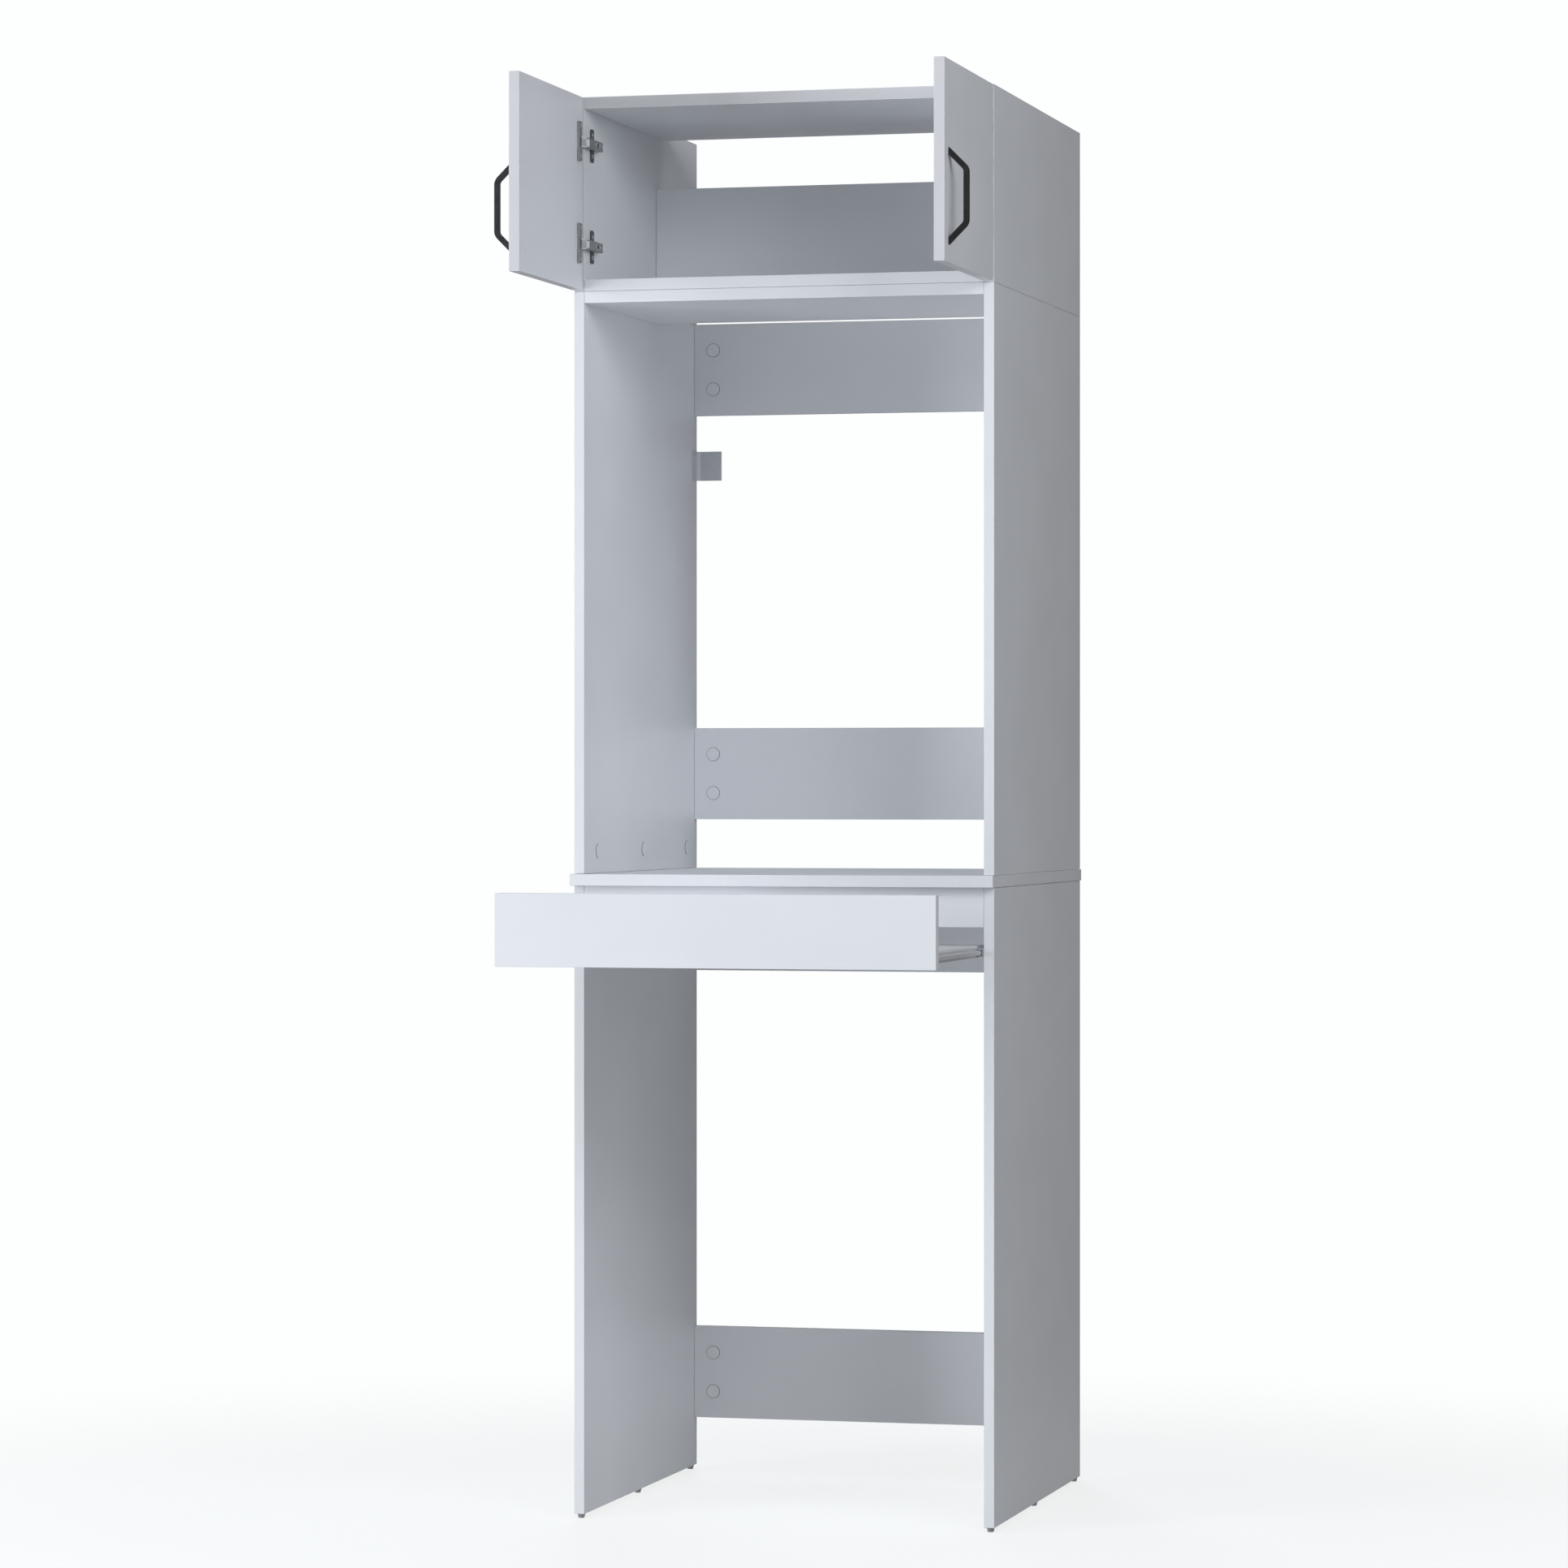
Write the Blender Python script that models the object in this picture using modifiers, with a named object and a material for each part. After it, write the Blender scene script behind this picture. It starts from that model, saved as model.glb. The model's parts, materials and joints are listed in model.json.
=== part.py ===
"""A tall flat-pack cabinet that stands round a washing machine.

Two lower sides, a worktop over a pull-out tray, two middle sides, and a cupboard with two
hinged doors on top. All lengths are in metres. Places are given in cabinet coordinates: x runs
to the right from the middle, y runs back from the front edges of the sides, z runs up from the
floor. Moving pieces are given where they lie with the doors shut and the tray pushed in, and
the empties that carry them bring them to the rest pose: doors open at a right angle, tray out.
"""

from collections import defaultdict, namedtuple
from math import asin, cos, pi, radians, sin, tan

import bmesh
import bpy
from mathutils import Matrix, Vector

# The boards of the carcass
WIDTH = 0.660
DEPTH = 0.650
SIDE_T = 0.016
BOARD_T = 0.018
BOARD_CHAMFER = 0.0006
LOWER_SIDE_H = 0.965
MIDDLE_SIDE_H = 0.894
CUPBOARD_SIDE_H = 0.298
WORKTOP_OVERHANG = 0.002
WORKTOP_NOSE = 0.019
RAIL_H = 0.150
LOWER_RAIL_RISE = 0.079
MIDDLE_RAIL_RISE = 0.080
FASCIA_H = 0.060
MIDDLE_TOP_DEPTH = 0.400
CUPBOARD_DEPTH = 0.440
BACK_RAIL_H = 0.180
BACK_RAIL_INSET = 0.020

# Clearances, how far each cut runs past its face and each joined piece runs into its board,
# and how near two points of an outline lie when they are one
FIT = 0.0003
OVERRUN = 0.001
WELD_DISTANCE = 0.00003

# The glides under the lower sides
FOOT_H = 0.007
FOOT_RADIUS = 0.006
FOOT_BASE_RADIUS = 0.0046
FOOT_INSET = 0.012
NAIL_RADIUS = 0.0012
NAIL_LENGTH = 0.014

# The cam fittings: a lock in one board under a round cap, and a bolt that stands in the next
CAM_RADIUS = 0.0075
CAM_FLOOR = 0.0035
CAM_SLOT_WIDTH = 0.0012
CAM_SLOT_DEPTH = 0.0020
CAM_SETBACK = 0.034
RAIL_CAM_SETBACK = 0.032
RAIL_CAM_SPACING = 0.064
SIDE_CAMS = 3
SIDE_CAM_MARGINS = 0.138
BOLT_RADIUS = 0.0032
CAP_RADIUS = 0.01025
CAP_T = 0.0012
LOWER_CAM_INSET = 0.043
MIDDLE_CAM_INSET = 0.075
BOARD_CAM_INSET = 0.060
TRAY_CAM_PITCH = 0.200

# The dowels that line the cupboard up on the middle sides
DOWEL_RADIUS = 0.004
DOWEL_LENGTH = 0.030
DOWEL_INSET = 0.100

# The pull-out tray and its front
TRAY_RISE = 0.0057
FRONT_H = 0.108
FRONT_REVEAL = 0.004
FRONT_GAP = 0.001

# The ball runners at both sides of the tray
SLIDE_ROOM = 0.0127
SLIDE_LENGTH = 0.445
SLIDE_SETBACK = 0.002
SLIDE_END_ROOM = 0.003
SLIDE_RISE = 0.0005
SLIDE_H = 0.014
SLIDE_SHEET = 0.0012
FIXED_MEMBER_DEPTH = 0.0092
TRAY_MEMBER_DEPTH = 0.0082
TRAY_MEMBER_HAT_H = 0.0068
CAGE_LENGTH = 0.064
CAGE_SHEET = 0.001
CAGE_GAP = 0.0004
CAGE_TIP_DISTANCE = 0.009
BALL_DISTANCE = 0.0064
BALL_PITCH = 0.014
BALLS_PER_TRACK = 4
SLIDE_SCREW_SHARES = (0.08, 0.5, 0.92)

# The doors
DOOR_GAP = 0.002
DOOR_MEETING_GAP = 0.003
DOOR_EDGE_REVEAL = 0.001
DOOR_END_REVEAL = 0.001
DOOR_STANDOFF = 0.009
DOOR_OPEN = radians(90)

# The concealed hinges, two on each door
HINGE_INSET = 0.070
CUP_EDGE_DISTANCE = 0.021
CUP_RADIUS = 0.0172
CUP_BORE_DEPTH = 0.012
CUP_WALL = 0.0013
CUP_PROUD = 0.0004
WING_WIDTH = 0.0146
WING_HEIGHT = 0.0042
WING_INNER = 0.0086
WING_OUTER = 0.0305
WING_WALL_GAP = 0.0006
WING_SCREW_PLACE = 0.024
ARM_WIDTH = 0.0146
ARM_HEIGHT = 0.0094
ARM_SHEET = 0.0012
ARM_REACH = 0.0045
ARM_REAR = 0.062
ARM_NOTCH_RADIUS = 0.003
ARM_SLOT_FRONT = 0.032
ARM_SLOT_REAR = 0.040
ARM_SLOT_WIDTH = 0.005
ARM_SCREW_PLACES = (0.025, 0.046)
PLATE_T = 0.002
PLATE_WIDTH = 0.016
PLATE_LENGTH = 0.051
PLATE_PLACE = 0.038
PLATE_SCREW_SPACING = 0.032
BOSS_FRONT = 0.010
BOSS_REAR = 0.052
HINGE_PIN_RADIUS = 0.0011
HINGE_PIN_DISTANCE = 0.0078
HINGE_PIN_REACH = 0.0016
KNUCKLE_RADIUS = 0.0024
LINK_T = 0.0018
LINK_LENGTH = 0.0155
LINK_TIP_RADIUS = 0.0012
LINK_SHUT_ANGLE = radians(-37.3)
LINK_RATIO = -0.334

# The bow handles
HANDLE_SPAN = 0.1432
HANDLE_PROJECTION = 0.0305
HANDLE_BAR = 0.008
HANDLE_WIDTH = 0.008
HANDLE_BEND_RADIUS = 0.0125
HANDLE_BEND = radians(45)
HANDLE_INSET = 0.0285
HANDLE_RISE = 0.0965
HANDLE_SCREW_SPACING = 0.128
HANDLE_SCREW_GRIP = 0.0045
HANDLE_SCREW_RADIUS = 0.0014
HANDLE_SCREW_HEAD_RADIUS = 0.0032
HANDLE_SCREW_HEAD_HEIGHT = 0.0016

# The brackets that hold the cabinet to the wall
BRACKET_SHEET = 0.0015
BRACKET_H = 0.048
BRACKET_DROP = 0.2086
BRACKET_REACH = 0.030
BRACKET_JOGGLE = 0.0055
BRACKET_PLATE = 0.036
BRACKET_SCREW_SPACING = 0.028
WALL_HOLE_RADIUS = 0.00275

# Screws: head radius, head height, shank radius, and the length from the head's seat to the tip.
# The fixed runners' screws are countersunk flush, so they have no head of their own.
ScrewSize = namedtuple("ScrewSize", "head_radius head_height radius length")
FIXED_SLIDE_SCREW = ScrewSize(0.0, 0.0, 0.0015, 0.0120)
TRAY_SLIDE_SCREW = ScrewSize(0.0022, 0.0006, 0.0012, 0.0170)
PLATE_SCREW = ScrewSize(0.0035, 0.0010, 0.0024, 0.0130)
ARM_SCREW = ScrewSize(0.0030, 0.0012, 0.0015, 0.0080)
WING_SCREW = ScrewSize(0.0032, 0.0008, 0.0016, 0.0140)
BRACKET_SCREW = ScrewSize(0.0035, 0.0012, 0.0017, 0.0140)

# The angle from which an edge is shaded sharp
SHARP_ANGLE = radians(50)

# Sides of the round pieces, as counts
CAM_SIDES = 8
BOLT_SIDES = 6
SCREW_SIDES = 10
SHANK_SIDES = 6
CAP_SIDES = 12
CUP_SIDES = 24
FOOT_SIDES = 12
PIN_SIDES = 10
BALL_SEGMENTS = 6
BALL_RINGS = 5
BEND_STEPS = 4
KNUCKLE_STEPS = 10
TIP_STEPS = 4

# Levels and places that follow from the sizes above
WALL = WIDTH / 2 - SIDE_T
SPAN = WALL - FIT
LOWER_TOP = FOOT_H + LOWER_SIDE_H
WORKTOP_LOW = LOWER_TOP + FIT
WORKTOP_TOP = WORKTOP_LOW + BOARD_T
MIDDLE_LOW = WORKTOP_TOP + FIT
MIDDLE_TOP = MIDDLE_LOW + MIDDLE_SIDE_H
CUPBOARD_LOW = MIDDLE_TOP + FIT
CUPBOARD_TOP = CUPBOARD_LOW + CUPBOARD_SIDE_H
CUPBOARD_FLOOR = CUPBOARD_LOW + BOARD_T
FRONT_TOP = WORKTOP_LOW - FRONT_REVEAL
FRONT_LOW = FRONT_TOP - FRONT_H
TRAY_LOW = FRONT_LOW + TRAY_RISE
SIDE_CAM_PITCH = (DEPTH - SIDE_CAM_MARGINS) / (SIDE_CAMS - 1)
TRAY_TRAVEL = SLIDE_LENGTH - CAGE_LENGTH
TRAY_DEPTH = SLIDE_SETBACK + SLIDE_LENGTH + SLIDE_END_ROOM
TRAY_HALF = WALL - SLIDE_ROOM
SLIDE_MIDDLE = TRAY_LOW + SLIDE_RISE + SLIDE_H / 2
DOOR_T = SIDE_T
DOOR_LOW = CUPBOARD_LOW + DOOR_END_REVEAL
DOOR_TOP = CUPBOARD_TOP - DOOR_END_REVEAL
DOOR_FACE = -(DOOR_GAP + DOOR_T)
HINGE_LEVELS = (DOOR_LOW + HINGE_INSET, DOOR_TOP - HINGE_INSET)
PIVOT_Y = -(DOOR_GAP + DOOR_T + DOOR_STANDOFF - DOOR_EDGE_REVEAL) / 2
PIVOT_X = WIDTH / 2 - (DOOR_GAP + DOOR_T) - PIVOT_Y
CUP_X = WIDTH / 2 - DOOR_EDGE_REVEAL - CUP_EDGE_DISTANCE
ARM_FOOT_X = WALL - FIT - PLATE_T - FIT
ARM_TOP_X = ARM_FOOT_X - ARM_HEIGHT
LINK_X = WALL - HINGE_PIN_DISTANCE
TRAY_REACH = FRONT_GAP + BOARD_T + TRAY_TRAVEL
DOOR_REACH = PIVOT_X - DOOR_MEETING_GAP / 2 - PIVOT_Y
FRONT_Y = (max(TRAY_REACH, DOOR_REACH, WORKTOP_NOSE) - DEPTH) / 2
SIDES = (("left", -1), ("right", 1))
HINGES = (("lower", HINGE_LEVELS[0]), ("upper", HINGE_LEVELS[1]))

# Colours as red, green, blue; metallic; roughness
FINISHES = {
    "melamine": ((0.74, 0.77, 0.80), 0.0, 0.45),
    "white_plastic": ((0.80, 0.82, 0.84), 0.0, 0.40),
    "grey_plastic": ((0.45, 0.47, 0.48), 0.0, 0.50),
    "zinc": ((0.50, 0.51, 0.52), 1.0, 0.45),
    "bright_steel": ((0.68, 0.69, 0.70), 1.0, 0.25),
    "black_lacquer": ((0.02, 0.02, 0.022), 0.0, 0.45),
}

Box = namedtuple("Box", "low high")
Carrier = namedtuple("Carrier", "empty point")
Fitting = namedtuple("Fitting", "host mate centre normal along end thickness capped")
Screw = namedtuple("Screw", "piece board seat into sheet")


def rod(body, start, end, radius, sides, end_radius=None):
    """Add a round bar, or with an end radius a cone's frustum, from start to end."""
    start, end = Vector(start), Vector(end)
    reach = end - start
    turn = reach.to_track_quat("Z", "Y").to_matrix().to_4x4()
    bmesh.ops.create_cone(
        body,
        cap_ends=True,
        segments=sides,
        radius1=radius,
        radius2=radius if end_radius is None else end_radius,
        depth=reach.length,
        matrix=Matrix.Translation((start + end) / 2) @ turn,
    )


def block(body, one, other):
    """Add a box between two opposite corners."""
    low = Vector(map(min, one, other))
    high = Vector(map(max, one, other))
    bmesh.ops.create_cube(body, size=1, matrix=Matrix.LocRotScale((low + high) / 2, None, high - low))


def ribbon(body, points, sweep):
    """Add the surface that a chain of points leaves behind when it is swept along."""
    chain = [body.verts.new(point) for point in points]
    edges = [body.edges.new(pair) for pair in zip(chain, chain[1:])]
    swept = bmesh.ops.extrude_edge_only(body, edges=edges)["geom"]
    far = [item for item in swept if isinstance(item, bmesh.types.BMVert)]
    bmesh.ops.translate(body, verts=far, vec=sweep)


def slab(outlines, thickness):
    """Return a flat piece of this thickness in the XY plane, centred on it: an outline, then its holes."""
    curve = bpy.data.curves.new("outline", "CURVE")
    curve.dimensions = "2D"
    curve.fill_mode = "BOTH"
    curve.extrude = thickness / 2
    for points in outlines:
        spline = curve.splines.new("POLY")
        spline.points.add(len(points) - 1)
        for place, (across, up) in zip(spline.points, points):
            place.co = (across, up, 0, 1)
        spline.use_cyclic_u = True
    flat = bpy.data.objects.new("outline", curve)
    bpy.context.scene.collection.objects.link(flat)
    bpy.context.view_layer.update()
    mesh = bpy.data.meshes.new_from_object(flat.evaluated_get(bpy.context.evaluated_depsgraph_get()))
    body = bmesh.new()
    body.from_mesh(mesh)
    bmesh.ops.remove_doubles(body, verts=body.verts, dist=WELD_DISTANCE)
    bpy.data.objects.remove(flat)
    bpy.data.curves.remove(curve)
    bpy.data.meshes.remove(mesh)
    return body


def arc(centre, radius, first, last, steps):
    """Return points along an arc, both ends included."""
    turns = [first + (last - first) * step / steps for step in range(steps + 1)]
    return [(centre[0] + radius * cos(turn), centre[1] + radius * sin(turn)) for turn in turns]


def moved(body, matrix):
    """Turn and shift a body, and return it."""
    bmesh.ops.transform(body, matrix=matrix, verts=body.verts)
    return body


def add_object(name, body, carrier, collection):
    """Make the body an object with its origin at its middle, hung from its carrier."""
    bmesh.ops.recalc_face_normals(body, faces=body.faces)
    places = [vert.co for vert in body.verts]
    low = Vector(min(place[axis] for place in places) for axis in range(3))
    high = Vector(max(place[axis] for place in places) for axis in range(3))
    centre = (low + high) / 2
    bmesh.ops.translate(body, verts=body.verts, vec=-centre)
    mesh = bpy.data.meshes.new(name)
    body.to_mesh(mesh)
    body.free()
    mesh.shade_smooth()
    mesh.set_sharp_from_angle(angle=SHARP_ANGLE)
    thing = bpy.data.objects.new(name, mesh)
    thing.parent = carrier.empty
    thing.location = centre - carrier.point
    collection.objects.link(thing)
    return thing


class Workshop:
    """Makes the cabinet's objects and remembers the holes that each one still needs."""

    def __init__(self):
        scene = bpy.context.scene.collection
        self.parts = bpy.data.collections.new("washing_machine_cabinet")
        self.cutters = bpy.data.collections.new("cutters")
        scene.children.link(self.parts)
        scene.children.link(self.cutters)
        self.carriers = {}
        self.made = {}
        self.holes = {"wide": defaultdict(bmesh.new), "narrow": defaultdict(bmesh.new)}
        self.studs = {"head": defaultdict(bmesh.new), "shank": defaultdict(bmesh.new)}

    def carry(self, name, point, shift=(0, 0, 0), turn=0.0):
        """Add the empty that carries one body: its point in cabinet coordinates, and its rest pose."""
        empty = bpy.data.objects.new(name, None)
        empty.location = Vector(point) + Vector(shift)
        empty.rotation_euler.z = turn
        if self.carriers:
            empty.parent = self.carriers["carcass"].empty
        self.parts.objects.link(empty)
        self.carriers[name] = Carrier(empty, Vector(point))

    def add(self, name, body, carrier, finish):
        """Add a piece with its own material."""
        thing = add_object(name, body, self.carriers[carrier], self.parts)
        colour, metallic, roughness = FINISHES[finish]
        material = bpy.data.materials.new(f"{name}_{finish}")
        material.use_nodes = True
        shader = material.node_tree.nodes["Principled BSDF"]
        shader.inputs["Base Color"].default_value = (*colour, 1)
        shader.inputs["Metallic"].default_value = metallic
        shader.inputs["Roughness"].default_value = roughness
        thing.data.materials.append(material)
        self.made[name] = (thing, carrier)
        return thing

    def combine(self, name, body, operation):
        """Join a body to a finished piece, or cut it away."""
        thing, carrier = self.made[name]
        step = len(thing.modifiers)
        tool = add_object(f"{name}_tool_{step}", body, self.carriers[carrier], self.cutters)
        tool.hide_render = True
        tool.display_type = "WIRE"
        modifier = thing.modifiers.new(operation.capitalize(), "BOOLEAN")
        modifier.operation = operation
        modifier.solver = "EXACT"
        modifier.object = tool

    def board(self, name, box, carrier="carcass"):
        """Add a board with its edges just broken."""
        body = bmesh.new()
        block(body, box.low, box.high)
        thing = self.add(name, body, carrier, "melamine")
        bevel = thing.modifiers.new("Edges", "BEVEL")
        bevel.width = BOARD_CHAMFER
        bevel.segments = 1

    def sheet(self, name, body, thickness, carrier, finish):
        """Add folded sheet metal, half of its thickness on each side of the ribbons."""
        thing = self.add(name, body, carrier, finish)
        solidify = thing.modifiers.new("Sheet", "SOLIDIFY")
        solidify.thickness = thickness
        solidify.offset = 0
        solidify.use_even_offset = True

    def hole(self, name, start, end, radius, sides, kind="narrow"):
        """Remember a hole; holes of one kind in one piece never meet."""
        rod(self.holes[kind][name], start, end, radius, sides)

    def stud(self, name, start, end, radius, sides, kind="shank"):
        """Remember a round piece that is fixed in another; those of one kind never meet."""
        rod(self.studs[kind][name], start, end, radius, sides)

    def finish(self):
        """Join all the fixed round pieces, then cut all the holes, the wide ones first."""
        for kind in ("head", "shank"):
            for name, body in self.studs[kind].items():
                self.combine(name, body, "UNION")
        for kind in ("wide", "narrow"):
            for name, body in self.holes[kind].items():
                self.combine(name, body, "DIFFERENCE")

    def screw(self, screw, size):
        """Fix a screw in the sheet that it holds down, and remember its hole in the board behind."""
        into, seat = screw.into, screw.seat
        bite = seat + into * screw.sheet / 2
        if size.head_height:
            top = seat - into * size.head_height
            self.stud(screw.piece, top, bite, size.head_radius, SCREW_SIDES, "head")
        tip = seat + into * size.length
        root = bite - into * screw.sheet / 4
        self.stud(screw.piece, root, tip, size.radius, SHANK_SIDES)
        self.hole(screw.board, root, tip + into * FIT, size.radius + FIT, SHANK_SIDES)

    def fitting(self, fitting):
        """Fix a fitting's bolt in its board and its cap over the lock, and return the lock's axis."""
        into, along = -fitting.normal, fitting.along
        middle = fitting.centre + into * fitting.thickness / 2
        head = middle + along * (CAM_RADIUS + FIT)
        root = middle + along * (fitting.end + FIT + OVERRUN)
        self.stud(fitting.mate, head, root, BOLT_RADIUS, BOLT_SIDES)
        mouth = middle + along * (fitting.end + OVERRUN)
        self.hole(fitting.host, head - along * FIT, mouth, BOLT_RADIUS + FIT, BOLT_SIDES)
        if fitting.capped:
            top = fitting.centre - into * CAP_T
            self.stud(fitting.host, top, fitting.centre + into * OVERRUN, CAP_RADIUS, CAP_SIDES, "head")
        return fitting.centre, fitting.centre + into * (fitting.thickness - CAM_FLOOR)


def carcass_boxes():
    """Return the boxes of the boards that never move, by name."""
    boxes = {}
    levels = (
        ("lower", FOOT_H, LOWER_TOP),
        ("middle", MIDDLE_LOW, MIDDLE_TOP),
        ("cupboard", CUPBOARD_LOW, CUPBOARD_TOP),
    )
    for hand, side in SIDES:
        for section, low, high in levels:
            inner = Vector((side * WALL, 0, low))
            outer = Vector((side * WIDTH / 2, DEPTH, high))
            boxes[f"{section}_side_{hand}"] = Box(inner, outer)
    half = WIDTH / 2 + WORKTOP_OVERHANG
    boxes["worktop"] = Box(Vector((-half, -WORKTOP_NOSE, WORKTOP_LOW)), Vector((half, DEPTH, WORKTOP_TOP)))
    back = DEPTH - BACK_RAIL_INSET - (DEPTH - CUPBOARD_DEPTH)
    floor = CUPBOARD_FLOOR + FIT
    between = {
        "lower_rear_rail": (DEPTH - SIDE_T, DEPTH, FOOT_H + LOWER_RAIL_RISE, RAIL_H),
        "worktop_rear_rail": (DEPTH - SIDE_T, DEPTH, LOWER_TOP - RAIL_H, RAIL_H),
        "middle_lower_rail": (DEPTH - SIDE_T, DEPTH, WORKTOP_TOP + MIDDLE_RAIL_RISE, RAIL_H),
        "middle_upper_rail": (DEPTH - SIDE_T, DEPTH, MIDDLE_TOP - RAIL_H, RAIL_H),
        "front_fascia": (0, SIDE_T, LOWER_TOP - FASCIA_H, FASCIA_H),
        "middle_top_board": (0, MIDDLE_TOP_DEPTH, MIDDLE_TOP - BOARD_T, BOARD_T),
        "cupboard_bottom_board": (0, CUPBOARD_DEPTH, CUPBOARD_LOW, BOARD_T),
        "cupboard_top_board": (0, CUPBOARD_DEPTH, CUPBOARD_TOP - BOARD_T, BOARD_T),
        "cupboard_back_rail": (back - SIDE_T, back, floor, BACK_RAIL_H),
    }
    for name, (front, rear, low, height) in between.items():
        boxes[name] = Box(Vector((-SPAN, front, low)), Vector((SPAN, rear, low + height)))
    return boxes


def end_fittings(name, mate, box, normal, places, setback, capped=True):
    """Return the fittings at both ends of a cross board, their cams in the face on the normal's side."""
    normal = Vector(normal)
    out = 1 if normal.y else 2
    across = 3 - out
    found = []
    for hand, side in SIDES:
        for place in places:
            centre = Vector((side * (SPAN - setback), 0, 0))
            centre[out] = box.high[out] if normal[out] > 0 else box.low[out]
            centre[across] = place
            along = Vector((side, 0, 0))
            thickness = box.high[out] - box.low[out]
            found.append(Fitting(name, f"{mate}_{hand}", centre, normal, along, setback, thickness, capped))
    return found


def carcass_fittings(boxes):
    """Return every cam fitting that joins the boards of the carcass."""
    found = []
    rows = (
        ("lower", LOWER_TOP - CAM_SETBACK, 1, LOWER_CAM_INSET),
        ("middle", MIDDLE_LOW + CAM_SETBACK, -1, MIDDLE_CAM_INSET),
    )
    for hand, side in SIDES:
        for section, level, up, inset in rows:
            name = f"{section}_side_{hand}"
            for step in range(SIDE_CAMS):
                centre = Vector((side * WALL, inset + step * SIDE_CAM_PITCH, level))
                normal, along = Vector((-side, 0, 0)), Vector((0, 0, up))
                found.append(Fitting(name, "worktop", centre, normal, along, CAM_SETBACK, SIDE_T, True))
    rails = (
        ("lower_rear_rail", "lower_side", (0, -1, 0)),
        ("worktop_rear_rail", "lower_side", (0, -1, 0)),
        ("middle_lower_rail", "middle_side", (0, -1, 0)),
        ("middle_upper_rail", "middle_side", (0, -1, 0)),
        ("cupboard_back_rail", "cupboard_side", (0, 1, 0)),
    )
    for name, mate, normal in rails:
        middle = (boxes[name].low.z + boxes[name].high.z) / 2
        places = (middle - RAIL_CAM_SPACING / 2, middle + RAIL_CAM_SPACING / 2)
        found += end_fittings(name, mate, boxes[name], normal, places, RAIL_CAM_SETBACK)
    fascia = boxes["front_fascia"]
    level = (fascia.low.z + fascia.high.z) / 2
    found += end_fittings("front_fascia", "lower_side", fascia, (0, 1, 0), (level,), CAM_SETBACK)
    panels = (
        ("middle_top_board", "middle_side", False),
        ("cupboard_bottom_board", "cupboard_side", True),
        ("cupboard_top_board", "cupboard_side", True),
    )
    for name, mate, capped in panels:
        places = (BOARD_CAM_INSET, boxes[name].high.y - BOARD_CAM_INSET)
        found += end_fittings(name, mate, boxes[name], (0, 0, 1), places, CAM_SETBACK, capped)
    return found


def make_carriers(shop):
    """Add the empties: the carcass, the tray, the ball cages, the doors and the hinge links."""
    shop.carry("carcass", (0, 0, 0), (0, FRONT_Y, 0))
    shop.carry("tray", (0, 0, 0), (0, -TRAY_TRAVEL, 0))
    for hand, side in SIDES:
        shop.carry(f"ball_cage_{hand}_carrier", (0, 0, 0), (0, -TRAY_TRAVEL / 2, 0))
        pivot = (side * PIVOT_X, PIVOT_Y, 0)
        shop.carry(f"door_{hand}_carrier", pivot, turn=side * DOOR_OPEN)
        pin = (side * LINK_X, -HINGE_PIN_REACH, 0)
        shop.carry(f"hinge_link_{hand}_carrier", pin, turn=side * DOOR_OPEN * LINK_RATIO)


def make_feet(shop):
    """Add the glides: a tapered disc under each side's edge, nailed into it."""
    up = Vector((0, 0, 1))
    top = FOOT_H - FIT
    places = (("front", FOOT_INSET), ("middle", DEPTH / 2), ("rear", DEPTH - FOOT_INSET))
    for hand, side in SIDES:
        for place, depth in places:
            foot = Vector((side * (WIDTH / 2 - SIDE_T / 2), depth, 0))
            body = bmesh.new()
            rod(body, foot, foot + up * top, FOOT_BASE_RADIUS, FOOT_SIDES, FOOT_RADIUS)
            name = f"foot_{hand}_{place}"
            shop.add(name, body, "carcass", "grey_plastic")
            tip = foot + up * (FOOT_H + NAIL_LENGTH)
            shop.stud(name, foot + up * top / 2, tip, NAIL_RADIUS, SHANK_SIDES)
            shop.hole(f"lower_side_{hand}", foot, tip + up * FIT, NAIL_RADIUS + FIT, SHANK_SIDES)


def make_dowels(shop):
    """Fix dowels in the middle sides' top edges, and bore the cupboard's sides for them."""
    for hand, side in SIDES:
        for depth in (DOWEL_INSET, DEPTH - DOWEL_INSET):
            root = Vector((side * (WIDTH / 2 - SIDE_T / 2), depth, MIDDLE_TOP - OVERRUN))
            tip = root + Vector((0, 0, OVERRUN + DOWEL_LENGTH / 2))
            shop.stud(f"middle_side_{hand}", root, tip, DOWEL_RADIUS, CAM_SIDES)
            floor = tip + Vector((0, 0, FIT))
            shop.hole(f"cupboard_side_{hand}", root, floor, DOWEL_RADIUS + FIT, CAM_SIDES)


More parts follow.
